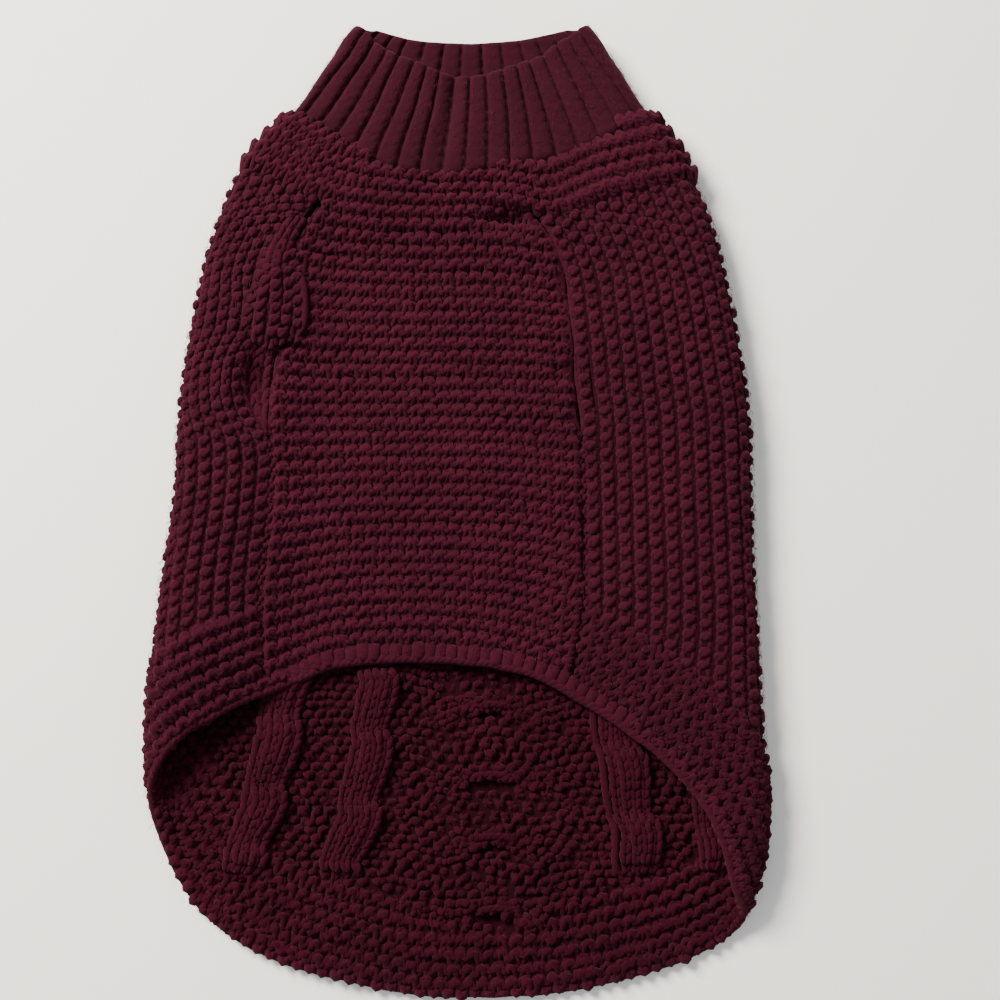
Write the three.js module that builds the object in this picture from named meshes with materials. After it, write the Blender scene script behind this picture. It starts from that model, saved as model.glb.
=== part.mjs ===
// A knitted dog sweater, laid flat with its belly side up: +Y runs to the neck, +Z is up, sizes in millimetres.
import * as THREE from "three";

// The cloth and its seams
const WALL = 3;
const GAP = 0.3;
const LEG_BAND_FLANK_GAP = 0.6;
const LEG_BAND_BELLY_GAP = 0.8;
const COLLAR_GAP = 0.8;
const HEM_BAND_WIDTH = 7;
const HEM_BAND_PROFILE = [
  { across: 0, roll: 0 },
  { across: 0.6, roll: 0.6 },
  { across: 1, roll: 0.2 },
];
const LEG_BAND_END = 3;
const LEG_BAND_CLEAR = 1.5;
const LEG_BAND_CROWN = 0.5;

// The knit's raised forms
const FLANK_RIB_PITCH = 5.5;
const FLANK_RIB_HEIGHT = 0.9;
const BORDER_START = -46;
const BORDER_FADE = 12;
const BELLY_RIDGES = 33;
const YOKE_RIDGES = 4;
const RIDGE_HEIGHT = 0.8;
const COLLAR_RIBS = 36;
const COLLAR_RIB_HEIGHT = 1.1;
const COLLAR_RIB_INSIDE = 0.7;
const CABLE_HEIGHT = 1.6;

// Every place on the cloth has a share u of the way round, and its y. u is 0 at the middle of the upper layer,
// negative to the left, and 1 or -1 at the middle of the underside. The side folds lie between the first two of
// these shares, and the knit's raised forms fade out over a reach from the third.
const TOP_SHARE = 0.44;
const UNDER_SHARE = 0.56;
const PLAIN_FROM = 0.49;
const PLAIN_REACH = 0.05;
const GIRTH_PER_SHARE = 223;

// The outline of the sweater as it lies: its side edges, the height of its folds, the height of the middle of
// the upper layer, and how far in from the edge a fold is flat.
const OUTLINE = [
  { y: -176, left: -107, right: 97, fold: 11, middle: 8.2, turn: 9 },
  { y: -150, left: -107, right: 99.5, fold: 12, middle: 8.2, turn: 9 },
  { y: -142, left: -107, right: 102, fold: 13, middle: 8.2, turn: 9 },
  { y: -129, left: -107, right: 106, fold: 14, middle: 8.2, turn: 9 },
  { y: -112, left: -107, right: 108, fold: 15, middle: 8.2, turn: 9 },
  { y: -80, left: -108, right: 107, fold: 15, middle: 8.2, turn: 9 },
  { y: -40, left: -105.5, right: 105.5, fold: 15, middle: 8.2, turn: 9 },
  { y: 0, left: -101, right: 105, fold: 15, middle: 8.2, turn: 9 },
  { y: 30, left: -100, right: 104.5, fold: 15, middle: 8.2, turn: 9 },
  { y: 60, left: -96.5, right: 100.5, fold: 15, middle: 8.4, turn: 9 },
  { y: 85, left: -92, right: 96, fold: 15, middle: 9, turn: 9 },
  { y: 100, left: -87.5, right: 92, fold: 15, middle: 11, turn: 9 },
  { y: 112, left: -83.5, right: 87.5, fold: 14.5, middle: 12, turn: 9 },
  { y: 126, left: -75.5, right: 81.5, fold: 14.2, middle: 12.8, turn: 8 },
  { y: 141, left: -62.5, right: 71, fold: 14, middle: 13, turn: 7 },
  { y: 150, left: -55, right: 64, fold: 13.8, middle: 13, turn: 6 },
  { y: 160, left: -47.5, right: 57, fold: 13.6, middle: 13, turn: 6 },
  { y: 168, left: -43, right: 52.5, fold: 13.4, middle: 13, turn: 6 },
  { y: 176, left: -36.5, right: 46.5, fold: 13, middle: 13, turn: 6 },
];

// How far in from each fold the upper layer has sunk to its middle height
const SAG_REACH_LEFT = 45;
const SAG_REACH_RIGHT = 55;

// The edges that run all the way round, as y at each share of the way to the left and to the right
const RIM = [
  { u: 0, left: 153, right: 153 },
  { u: 0.05, left: 153.6, right: 154 },
  { u: 0.1, left: 155, right: 156.2 },
  { u: 0.18, left: 158.5, right: 158.7 },
  { u: 0.25, left: 161, right: 161.2 },
  { u: 0.3, left: 163, right: 165 },
  { u: 0.35, left: 165.5, right: 167.5 },
  { u: 0.4, left: 169, right: 169.5 },
  { u: 0.45, left: 172, right: 172 },
  { u: 0.5, left: 175.3, right: 175.3 },
  { u: 0.56, left: 175.3, right: 175.5 },
  { u: 0.65, left: 173.5, right: 174 },
  { u: 0.8, left: 171, right: 171.5 },
  { u: 1, left: 170, right: 170 },
];

const COLLAR_BASE = [
  { u: 0, left: 117.3, right: 117.3 },
  { u: 0.06, left: 116.5, right: 119 },
  { u: 0.12, left: 118, right: 121.3 },
  { u: 0.18, left: 120.5, right: 122.5 },
  { u: 0.22, left: 123.5, right: 123.7 },
  { u: 0.28, left: 129, right: 127.5 },
  { u: 0.34, left: 133, right: 131.5 },
  { u: 0.4, left: 136.7, right: 135.5 },
  { u: 0.46, left: 140, right: 139 },
  { u: 0.5, left: 141.5, right: 141.5 },
  { u: 0.56, left: 142, right: 142 },
  { u: 1, left: 143, right: 143 },
];

const YOKE_EDGE = [
  { u: 0, left: 105, right: 105 },
  { u: 0.06, left: 104.5, right: 104.8 },
  { u: 0.12, left: 104.7, right: 103.3 },
  { u: 0.16, left: 105, right: 101.3 },
  { u: 0.2, left: 105.5, right: 102.5 },
  { u: 0.28, left: 107.5, right: 107.3 },
  { u: 0.38, left: 114.5, right: 111.5 },
  { u: 0.44, left: 117.5, right: 113.5 },
  { u: 0.5, left: 120, right: 115 },
  { u: 0.56, left: 120, right: 116 },
  { u: 0.7, left: 118, right: 117 },
  { u: 1, left: 118, right: 118 },
];

const HEM = [
  { u: 0, left: -61.5, right: -61.5 },
  { u: 0.06, left: -61, right: -63 },
  { u: 0.13, left: -61.5, right: -67 },
  { u: 0.19, left: -63, right: -74.5 },
  { u: 0.25, left: -68.5, right: -83 },
  { u: 0.3, left: -73, right: -92 },
  { u: 0.34, left: -77, right: -101 },
  { u: 0.38, left: -82, right: -112.5 },
  { u: 0.4, left: -84.5, right: -121 },
  { u: 0.42, left: -88, right: -131 },
  { u: 0.44, left: -92, right: -139 },
  { u: 0.47, left: -101, right: -145.5 },
  { u: 0.5, left: -110, right: -149.5 },
  { u: 0.53, left: -121, right: -153.5 },
  { u: 0.56, left: -134, right: -158 },
  { u: 0.6, left: -146, right: -162.5 },
  { u: 0.66, left: -156, right: -167 },
  { u: 0.72, left: -162.5, right: -170.3 },
  { u: 0.78, left: -167, right: -173 },
  { u: 0.84, left: -170, right: -174.6 },
  { u: 0.92, left: -173.5, right: -175.5 },
  { u: 1, left: -175.5, right: -175.5 },
];

// The belly seams and the leg slits in them. In mm, flank and belly are the widths of the leg band on each side
// of a slit, and open is the slit's own width. A row with no open has no slit.
const SEAM_LEFT = [
  { y: "top", u: -0.282, flank: 0, belly: 0, open: 0 },
  { y: "below top", u: -0.305, flank: 4.5, belly: 2.5, open: 2.2 },
  { y: 90, u: -0.319, flank: 7, belly: 3, open: 1.4 },
  { y: 80, u: -0.322, flank: 8.5, belly: 3, open: 1.2 },
  { y: 70, u: -0.312, flank: 9, belly: 3, open: 1.2 },
  { y: 60, u: -0.306, flank: 9, belly: 3, open: 1.4 },
  { y: 54, u: -0.313, flank: 8.5, belly: 3, open: 2.8 },
  { y: 48, u: -0.329, flank: 8, belly: 3, open: 3 },
  { y: 38, u: -0.334, flank: 8, belly: 3, open: 1.6 },
  { y: 28, u: -0.33, flank: 6, belly: 3, open: 1.2 },
  { y: 18, u: -0.325, flank: 0, belly: 0, open: 0 },
  { y: 0, u: -0.318, flank: 0, belly: 0, open: 0 },
  { y: -25, u: -0.318, flank: 0, belly: 0, open: 0 },
  { y: -45, u: -0.313, flank: 0, belly: 0, open: 0 },
  { y: "bottom", u: -0.302, flank: 0, belly: 0, open: 0 },
];

const SEAM_RIGHT = [
  { y: "top", u: 0.137, flank: 0, belly: 0, open: 0 },
  { y: "below top", u: 0.152, flank: 3, belly: 3, open: 2.4 },
  { y: 90, u: 0.172, flank: 4, belly: 4.5, open: 1.4 },
  { y: 80, u: 0.187, flank: 4, belly: 5, open: 1.2 },
  { y: 70, u: 0.189, flank: 4, belly: 5, open: 1.2 },
  { y: 60, u: 0.191, flank: 4, belly: 5, open: 1.2 },
  { y: 54, u: 0.192, flank: 4.5, belly: 4.5, open: 1.2 },
  { y: 48, u: 0.191, flank: 5, belly: 4, open: 1.2 },
  { y: 38, u: 0.19, flank: 5.5, belly: 3.5, open: 1.6 },
  { y: 28, u: 0.194, flank: 4.5, belly: 3, open: 2 },
  { y: 18, u: 0.199, flank: 0, belly: 0, open: 0 },
  { y: 0, u: 0.202, flank: 0, belly: 0, open: 0 },
  { y: -25, u: 0.206, flank: 0, belly: 0, open: 0 },
  { y: -45, u: 0.205, flank: 0, belly: 0, open: 0 },
  { y: "bottom", u: 0.185, flank: 0, belly: 0, open: 0 },
];

// The rows of the back: the steps from its top down to its first level row, the level rows, and the steps from
// the last of them to the hem
const TOP_STEPS = [0, 0.4];
const LEVEL_ROWS = [90, 80, 70, 60, 54, 48, 38, 28, 18, 0, -25, -45];
const HEM_STEPS = [0.16, 0.32, 0.49, 0.66, 0.83, 1];
const SEAM_ROWS = TOP_STEPS.length + LEVEL_ROWS.length;
const BACK_ROWS = SEAM_ROWS + HEM_STEPS.length;

// Soft dips and swellings of the upper layer, each an oval hill: its middle, its reach round and along, its rise
const SWELLS = [
  { u: -0.345, y: 76, round: 0.03, along: 17, rise: 2.2 },
  { u: -0.354, y: 40, round: 0.024, along: 12, rise: -3.6 },
  { u: 0.225, y: 36, round: 0.018, along: 13, rise: -0.8 },
  { u: -0.318, y: -15, round: 0.014, along: 26, rise: -0.9 },
  { u: 0.204, y: -18, round: 0.014, along: 30, rise: -0.7 },
  { u: -0.06, y: 142, round: 0.035, along: 22, rise: -1.2 },
];
const SWELL_FADE = 8;

// The raised cable strips on the inside of the back, as shares of its half width from the middle, and how the
// strips spread towards the hem from the centre line of the pattern
const CABLES = [
  { middle: -0.605, half: 0.08 },
  { middle: -0.277, half: 0.068 },
  { middle: 0.565, half: 0.068 },
  { middle: 0.845, half: 0.06 },
];
const CABLE_CENTRE = 0.12;
const CABLE_SHOULDER = 0.7;
const PLAIN_STEP = 0.1;
const CABLE_END = -138;
const CABLE_FADE = 10;
const SPREAD_FROM = -60;
const SPREAD_LENGTH = 83;
const SPREAD = 0.45;
const SPREAD_MOST = 1.2;
const SPREAD_GROWTH = 1.7;

const clamp = THREE.MathUtils.clamp;
const lerp = THREE.MathUtils.lerp;
const smooth = (share) => THREE.MathUtils.smoothstep(share, 0, 1);

// A smooth curve through one column of a table, in steps of its first column
function columnCurve(table, from, column) {
  const rows = [...table].sort((a, b) => a[from] - b[from]);
  const slope = (i) => {
    const before = rows[Math.max(i - 1, 0)];
    const after = rows[Math.min(i + 1, rows.length - 1)];
    return (after[column] - before[column]) / (after[from] - before[from]);
  };
  return (at) => {
    const place = clamp(at, rows[0][from], rows.at(-1)[from]);
    const i = Math.max(rows.findLastIndex((row, n) => row[from] <= place && n < rows.length - 1), 0);
    const span = rows[i + 1][from] - rows[i][from];
    const t = (place - rows[i][from]) / span;
    const start = rows[i][column] * (1 + 2 * t) * (1 - t) ** 2;
    const end = rows[i + 1][column] * (3 - 2 * t) * t ** 2;
    const bend = slope(i) * t * (1 - t) ** 2 - slope(i + 1) * (1 - t) * t ** 2;
    return start + end + bend * span;
  };
}

// An edge that runs all the way round, as y at a share u
function roundEdge(table) {
  const left = columnCurve(table, "u", "left");
  const right = columnCurve(table, "u", "right");
  return (u) => (u < 0 ? left(-u) : right(u));
}

const outline = Object.fromEntries(
  ["left", "right", "fold", "middle", "turn"].map((name) => [name, columnCurve(OUTLINE, "y", name)]),
);
const rimY = roundEdge(RIM);
const collarBaseY = roundEdge(COLLAR_BASE);
const yokeEdgeY = roundEdge(YOKE_EDGE);
const hemY = roundEdge(HEM);

// The outer face of the whole sweater at a share u and a height y
function skin(u, y) {
  const left = outline.left(y);
  const right = outline.right(y);
  const height = outline.fold(y);
  const turn = outline.turn(y);
  const centre = (left + right) / 2;
  const flat = (right - left) / 2 - turn;
  const side = u < 0 ? -1 : 1;
  const share = Math.abs(u);
  if (share >= UNDER_SHARE) {
    return new THREE.Vector3(centre + (side * flat * (1 - share)) / (1 - UNDER_SHARE), y, 0);
  }
  if (share > TOP_SHARE) {
    const angle = (Math.PI * (share - TOP_SHARE)) / (UNDER_SHARE - TOP_SHARE);
    const x = centre + side * (flat + turn * Math.sin(angle));
    return new THREE.Vector3(x, y, (height / 2) * (1 + Math.cos(angle)));
  }
  const inFromFold = flat * (1 - share / TOP_SHARE);
  const sag = smooth(inFromFold / (side < 0 ? SAG_REACH_LEFT : SAG_REACH_RIGHT));
  let z = height - (height - outline.middle(y)) * sag;
  for (const { u: atU, y: atY, round, along, rise } of SWELLS) {
    z += rise * Math.exp(-(((u - atU) / round) ** 2) - ((y - atY) / along) ** 2) * Math.min(sag * SWELL_FADE, 1);
  }
  return new THREE.Vector3(centre + (side * flat * share) / TOP_SHARE, y, z);
}

// A point raised from the outer face by a distance, or sunk into the cloth where that is negative
function onCloth(u, y, raised) {
  const stepU = 0.002;
  const stepY = 0.5;
  const round = skin(u + stepU, y).sub(skin(u - stepU, y));
  const along = skin(u, y + stepY).sub(skin(u, y - stepY));
  const outward = round.cross(along).normalize();
  return skin(u, y).addScaledVector(outward, raised);
}

// A share brought back to between -1 and 1
function wrap(u) {
  return u > 1 ? u - 2 : u < -1 ? u + 2 : u;
}

// A place on the wall: its outer and inner points, each raised away from the cloth by its relief
function cell(u, y, outerRelief = 0, innerRelief = 0) {
  const share = wrap(u);
  return { u: share, y, outer: onCloth(share, y, outerRelief), inner: onCloth(share, y, -WALL - innerRelief) };
}

// How far a share has turned to the underside, which rests flat and is plain: 0 above and 1 below
const turnedUnder = (u) => smooth((Math.abs(wrap(u)) - PLAIN_FROM) / PLAIN_REACH);

// A closed wall of cloth through lines of cells, each cell with its outer and inner point. Where closed is true
// the last line joins the first, as on a ring.
function clothWall(lines, closed) {
  const rows = lines[0].length;
  const count = lines.length;
  const points = lines.flatMap((line) => line.flatMap((cell) => [cell.outer, cell.inner]));
  const outer = (i, j) => 2 * ((i % count) * rows + j);
  const inner = (i, j) => outer(i, j) + 1;
  const faces = [];
  const quad = (a, b, c, d) => faces.push(a, b, c, a, c, d);
  const last = closed ? count : count - 1;
  for (let i = 0; i < last; i++) {
    for (let j = 0; j < rows - 1; j++) {
      quad(outer(i, j), outer(i, j + 1), outer(i + 1, j + 1), outer(i + 1, j));
      quad(inner(i, j), inner(i + 1, j), inner(i + 1, j + 1), inner(i, j + 1));
    }
    quad(outer(i, 0), outer(i + 1, 0), inner(i + 1, 0), inner(i, 0));
    quad(outer(i, rows - 1), inner(i, rows - 1), inner(i + 1, rows - 1), outer(i + 1, rows - 1));
  }
  if (!closed) {
    for (let j = 0; j < rows - 1; j++) {
      quad(outer(0, j), inner(0, j), inner(0, j + 1), outer(0, j + 1));
      quad(outer(last, j), outer(last, j + 1), inner(last, j + 1), inner(last, j));
    }
  }
  const geometry = new THREE.BufferGeometry();
  geometry.setAttribute("position", new THREE.Float32BufferAttribute(points.flatMap((p) => p.toArray()), 3));
  geometry.setIndex(faces);
  return geometry;
}

// The way square to an edge and towards the hem at a share u, as a change of share and of y for each millimetre
function squareDown(edgeY, u) {
  const step = 0.006;
  const rise = (edgeY(wrap(u + step)) - edgeY(wrap(u - step))) / (2 * step * GIRTH_PER_SHARE);
  const length = Math.hypot(1, rise);
  return { u: rise / length / GIRTH_PER_SHARE, y: -1 / length };
}

// The lower edge of the panels: the hem moved up, square to itself, by the hem band's width and a gap
const panelEnd = HEM.flatMap((row) =>
  [-1, 1].map((side) => {
    const down = squareDown(hemY, side * row.u);
    const distance = HEM_BAND_WIDTH + GAP;
    return { u: side * row.u - down.u * distance, y: hemY(side * row.u) - down.y * distance };
  }),
);
const panelEndY = columnCurve(panelEnd.slice(1), "u", "y");

// The y of a row of the back at a share: the first row is under the yoke and the last one above the hem band
function backRowY(row, u) {
  if (row < TOP_STEPS.length) return lerp(yokeEdgeY(wrap(u)) - GAP, LEVEL_ROWS[0], TOP_STEPS[row]);
  if (row < SEAM_ROWS) return LEVEL_ROWS[row - TOP_STEPS.length];
  return lerp(LEVEL_ROWS.at(-1), panelEndY(wrap(u)), HEM_STEPS[row - SEAM_ROWS]);
}

// A belly seam's row with its edges: where the flank ends, the slit's two edges, and where the belly starts. Below
// the level rows the seam runs straight to its place at the bottom.
function seamRow(table, row) {
  const entry = table[Math.min(row, SEAM_ROWS)];
  const seam = row < SEAM_ROWS ? entry.u : lerp(table[SEAM_ROWS - 1].u, entry.u, HEM_STEPS[row - SEAM_ROWS]);
  const side = seam < 0 ? -1 : 1;
  const share = (mm) => (side * mm) / GIRTH_PER_SHARE;
  const half = entry.open / 2;
  return {
    y: backRowY(row, seam),
    slitFlank: seam + share(half),
    slitBelly: seam - share(half),
    bandFlank: seam + share(half + entry.flank),
    bandBelly: seam - share(half + entry.belly),
    flankEdge: seam + share(half + entry.flank + (entry.open ? LEG_BAND_FLANK_GAP : GAP / 2)),
    bellyEdge: seam - share(half + entry.belly + (entry.open ? LEG_BAND_BELLY_GAP : GAP / 2)),
    hasSlit: entry.open > 0,
  };
}

// One line of the back from the yoke to the hem. place gives its share at a row and y, and reliefs its raised form.
function backLine(place, outerRelief, innerRelief) {
  return Array.from({ length: BACK_ROWS }, (_, row) => {
    let u = place(row, LEVEL_ROWS[0]);
    for (let turn = 0; turn < 4; turn++) u = place(row, backRowY(row, u));
    const y = backRowY(row, u);
    return cell(u, y, outerRelief(u, y), innerRelief(u, y));
  });
}

// The flank's lines from a belly seam to the underside: a groove and a crest for each rib
function flankLines(table) {
  const side = table[0].u < 0 ? -1 : 1;
  const under = side * UNDER_SHARE;
  const waist = table.find((row) => row.y === 0);
  const width = (UNDER_SHARE - Math.abs(waist.u)) * GIRTH_PER_SHARE;
  const count = 2 * Math.round(width / FLANK_RIB_PITCH);
  const plain = () => 0;
  return Array.from({ length: count + 1 }, (_, k) => {
    const place = (row) => lerp(seamRow(table, row).flankEdge, under, k / count);
    const crest = (u, y) => {
      const aboveBorder = smooth((y - BORDER_START + BORDER_FADE) / BORDER_FADE);
      return (k % 2) * FLANK_RIB_HEIGHT * aboveBorder * (1 - turnedUnder(u));
    };
    return backLine(place, crest, plain);
  });
}

// The underside's lines from its left edge to its right: four for each cable strip and a few between strips
function undersideLines() {
  const stops = [];
  let before = -1;
  const fillTo = (end) => {
    const steps = Math.round((end - before) / PLAIN_STEP);
    for (let k = 1; k < steps; k++) stops.push({ at: lerp(before, end, k / steps), raised: 0 });
  };
  for (const { middle, half } of CABLES) {
    const shoulder = half * CABLE_SHOULDER;
    fillTo(middle - half);
    stops.push({ at: middle - half, raised: 0 }, { at: middle - shoulder, raised: 1 });
    stops.push({ at: middle + shoulder, raised: 1 }, { at: middle + half, raised: 0 });
    before = middle + half;
  }
  fillTo(1);
  const plain = () => 0;
  return stops.map(({ at, raised }) => {
    const place = (row, y) => {
      const spread = SPREAD * clamp((SPREAD_FROM - y) / SPREAD_LENGTH, 0, SPREAD_MOST) ** SPREAD_GROWTH;
      const x = at + spread * (at - CABLE_CENTRE) * (1 - at ** 2);
      return Math.sign(x) * (1 - Math.abs(x) * (1 - UNDER_SHARE));
    };
    const cable = (u, y) => raised * CABLE_HEIGHT * smooth((y - CABLE_END + CABLE_FADE) / CABLE_FADE);
    return backLine(place, plain, cable);
  });
}

// The back's lines, from the right belly seam round the underside to the left one
const backLines = [
  ...flankLines(SEAM_RIGHT),
  ...undersideLines().reverse(),
  ...flankLines(SEAM_LEFT).reverse(),
];

// The share of a belly edge at a y, on straight lines between the seam's rows
function bellyEdgeAt(table) {
  const edge = Array.from({ length: BACK_ROWS }, (_, row) => seamRow(table, row));
  return (y) => {
    const i = clamp(edge.findLastIndex((point) => point.y >= y), 0, edge.length - 2);
    const share = (edge[i].y - y) / (edge[i].y - edge[i + 1].y);
    return lerp(edge[i].bellyEdge, edge[i + 1].bellyEdge, clamp(share, 0, 1));
  };
}

// The belly panel's lines from the left seam to the right one: a groove and a crest for each garter ridge. The
// ridges run level, and bend to the panel's own ends only near them.
const BELLY_COLUMNS = 9;
const BELLY_TOP = 104;
const BELLY_END = -56;

function makeBellyLines() {
  const rows = 2 * BELLY_RIDGES;
  const leftEdge = bellyEdgeAt(SEAM_LEFT);
  const rightEdge = bellyEdgeAt(SEAM_RIGHT);
  return Array.from({ length: BELLY_COLUMNS + 1 }, (_, column) =>
    Array.from({ length: rows + 1 }, (_, row) => {
      const down = row / rows;
      let y = lerp(BELLY_TOP, BELLY_END, down);
      let u = 0;
      for (let turn = 0; turn < 8; turn++) {
        u = lerp(leftEdge(y), rightEdge(y), column / BELLY_COLUMNS);
        const topBend = (yokeEdgeY(u) - GAP - BELLY_TOP) * (1 - down) ** 3;
        const endBend = (panelEndY(u) - BELLY_END) * down ** 3;
        y = lerp(BELLY_TOP, BELLY_END, down) + topBend + endBend;
      }
      return cell(u, y, (row % 2) * RIDGE_HEIGHT);
    }),
  );
}
const bellyLines = makeBellyLines();

// A ring between two round edges. Its stations are evenly spaced shares. relief gives its raised form, which
// stands out on the upper side and inwards on the underside.
function ringWall(stations, rows, upperY, lowerY, relief) {
  const lines = Array.from({ length: stations }, (_, k) => {
    const u = -1 + (2 * k) / stations;
    const under = turnedUnder(u);
    return Array.from({ length: rows + 1 }, (_, row) => {
      const raised = relief(k, row);
      const y = lerp(upperY(u), lowerY(u), row / rows);
      return cell(u, y, raised.outer * (1 - under), raised.inner * under);
    });
  });
  return clothWall(lines, true);
}

function makeYoke() {
  const upper = (u) => collarBaseY(u) - COLLAR_GAP;
  const ridge = (k, row) => ({ outer: (row % 2) * RIDGE_HEIGHT, inner: 0 });
  return ringWall(2 * COLLAR_RIBS, 2 * YOKE_RIDGES, upper, yokeEdgeY, ridge);
}

// Each collar rib has a groove and two shoulders
function makeCollar() {
  const rows = 4;
  const rib = (k) => {
    const raised = k % 3 === 0 ? 0 : COLLAR_RIB_HEIGHT;
    return { outer: raised, inner: raised * COLLAR_RIB_INSIDE };
  };
  return ringWall(3 * COLLAR_RIBS, rows, rimY, collarBaseY, rib);
}

// The bound-off band all round the hem mouth. It has a station below each line of the panels, and is a little
// rolled on the side that shows.
function makeHemBand() {
  const ends = [...backLines, ...bellyLines].map((line) => line.at(-1)).sort((a, b) => a.u - b.u);
  const lines = ends.map((end) => {
    const down = squareDown(panelEndY, end.u);
    const under = turnedUnder(end.u);
    return HEM_BAND_PROFILE.map(({ across, roll }) => {
      const distance = GAP + HEM_BAND_WIDTH * across;
      return cell(end.u + down.u * distance, end.y + down.y * distance, roll * (1 - under), roll * under);
    });
  });
  return clothWall(lines, true);
}

// A leg band: down the flank side of its slit, round the lower end, and up the belly side. Its ends lie midway
// between the flank and the belly, a little way from where these meet.
function makeLegBand(table) {
  const rows = Array.from({ length: SEAM_ROWS }, (_, row) => seamRow(table, row));
  const slit = rows.filter((row) => row.hasSlit);
  const middle = (row) => (row.flankEdge + row.bellyEdge) / 2;
  const endStation = (seamEnd, slitEnd) => {
    const place = (distance) => {
      const way = distance / Math.abs(slitEnd.y - seamEnd.y);
      return [lerp(middle(seamEnd), middle(slitEnd), way), lerp(seamEnd.y, slitEnd.y, way)];
    };
    return { out: place(LEG_BAND_CLEAR), in: place(LEG_BAND_CLEAR + LEG_BAND_END) };
  };
  const stations = [
    ...slit.map((row) => ({ out: [row.bandFlank, row.y], in: [row.slitFlank, row.y] })),
    endStation(rows[slit.length + 1], slit.at(-1)),
    ...slit.toReversed().map((row) => ({ out: [row.bandBelly, row.y], in: [row.slitBelly, row.y] })),
    endStation(rows[0], slit[0]),
  ];
  const lines = stations.map((station) =>
    [0, 0.5, 1].map((across) => {
      const u = lerp(station.out[0], station.in[0], across);
      const y = lerp(station.out[1], station.in[1], across);
      return cell(u, y, across === 0.5 ? LEG_BAND_CROWN : 0);
    }),
  );
  return clothWall(table[0].u < 0 ? lines.reverse() : lines, true);
}

const KNIT = { roughness: 0.95, metalness: 0 };
const garterWool = new THREE.MeshStandardMaterial({ color: 0x4a1a26, ...KNIT });
const ribbedWool = new THREE.MeshStandardMaterial({ color: 0x4e1c28, ...KNIT });
const bodyWool = new THREE.MeshStandardMaterial({ color: 0x461420, ...KNIT });
const bandWool = new THREE.MeshStandardMaterial({ color: 0x521d29, ...KNIT });

const sweater = new THREE.Group();

function addPiece(name, geometry, material) {
  const mesh = new THREE.Mesh(geometry, material);
  mesh.name = name;
  sweater.add(mesh);
}

addPiece("back", clothWall(backLines, false), bodyWool);
addPiece("belly_panel", clothWall(bellyLines, false), garterWool);
addPiece("yoke", makeYoke(), garterWool);
addPiece("collar", makeCollar(), ribbedWool);
addPiece("hem_band", makeHemBand(), bandWool);
addPiece("leg_band_left", makeLegBand(SEAM_LEFT), bandWool);
addPiece("leg_band_right", makeLegBand(SEAM_RIGHT), bandWool);

export default sweater;
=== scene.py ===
import math

import bpy
import numpy as np
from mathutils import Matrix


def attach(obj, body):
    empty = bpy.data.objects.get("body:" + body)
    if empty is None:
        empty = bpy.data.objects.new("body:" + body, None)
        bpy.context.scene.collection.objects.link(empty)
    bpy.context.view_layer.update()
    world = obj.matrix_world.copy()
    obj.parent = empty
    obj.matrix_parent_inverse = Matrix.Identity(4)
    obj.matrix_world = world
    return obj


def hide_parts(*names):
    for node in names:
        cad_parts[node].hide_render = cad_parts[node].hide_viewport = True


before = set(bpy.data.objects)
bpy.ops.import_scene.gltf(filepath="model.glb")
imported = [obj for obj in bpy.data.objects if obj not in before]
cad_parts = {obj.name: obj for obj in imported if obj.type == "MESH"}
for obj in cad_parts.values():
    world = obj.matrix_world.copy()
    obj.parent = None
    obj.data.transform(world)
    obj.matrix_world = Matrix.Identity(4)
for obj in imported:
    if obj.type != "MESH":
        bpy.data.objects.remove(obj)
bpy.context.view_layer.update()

bpy.ops.object.select_all(action="DESELECT")

# A knitted dog sweater, laid flat with its belly side up. Sizes are in millimetres until a mesh is made.
MM = 0.001
GAP = 0.3
WALL = 3
HEM_BAND_WIDTH = 7
COLLAR_GAP = 0.8
BELLY_RIDGES = 33
YOKE_RIDGES = 5
BORDER_RIDGES = 5
FRONT_RIBS = 18
BACK_RIBS = 13

# The yarn and its stitches
STITCH = 4.9
RIDGE = 4.9
YARN = 1.12

# A place on the cloth has a share u of the way round, and its y. u is 0 at the middle of the upper layer, negative
# to the left, and 1 or -1 at the middle of the underside. The side folds lie between these two shares.
TOP_SHARE = 0.44
UNDER_SHARE = 0.56
GIRTH_PER_SHARE = 223
SAG_REACH_LEFT = 45
SAG_REACH_RIGHT = 55


def table(columns, *rows):
    """Rows of numbers under named columns"""
    return {name: np.array(values, float) for name, values in zip(columns.split(), zip(*rows))}


OUTLINE = table(
    "y left right fold middle turn",
    (-176, -107, 97, 11, 8.2, 9),
    (-150, -107, 99.5, 12, 8.2, 9),
    (-142, -107, 102, 13, 8.2, 9),
    (-129, -107, 106, 14, 8.2, 9),
    (-112, -107, 108, 15, 8.2, 9),
    (-80, -108, 107, 15, 8.2, 9),
    (-40, -105.5, 105.5, 15, 8.2, 9),
    (0, -101, 105, 15, 8.2, 9),
    (30, -100, 104.5, 15, 8.2, 9),
    (60, -96.5, 100.5, 15, 8.4, 9),
    (85, -92, 96, 15, 9, 9),
    (100, -87.5, 92, 15, 11, 9),
    (112, -83.5, 87.5, 14.5, 12, 9),
    (126, -75.5, 81.5, 14.2, 12.8, 8),
    (141, -62.5, 71, 14, 13, 7),
    (150, -55, 64, 13.8, 13, 6),
    (160, -47.5, 57, 13.6, 13, 6),
    (168, -43, 52.5, 13.4, 13, 6),
    (176, -36.5, 46.5, 13, 13, 6),
)

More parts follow.
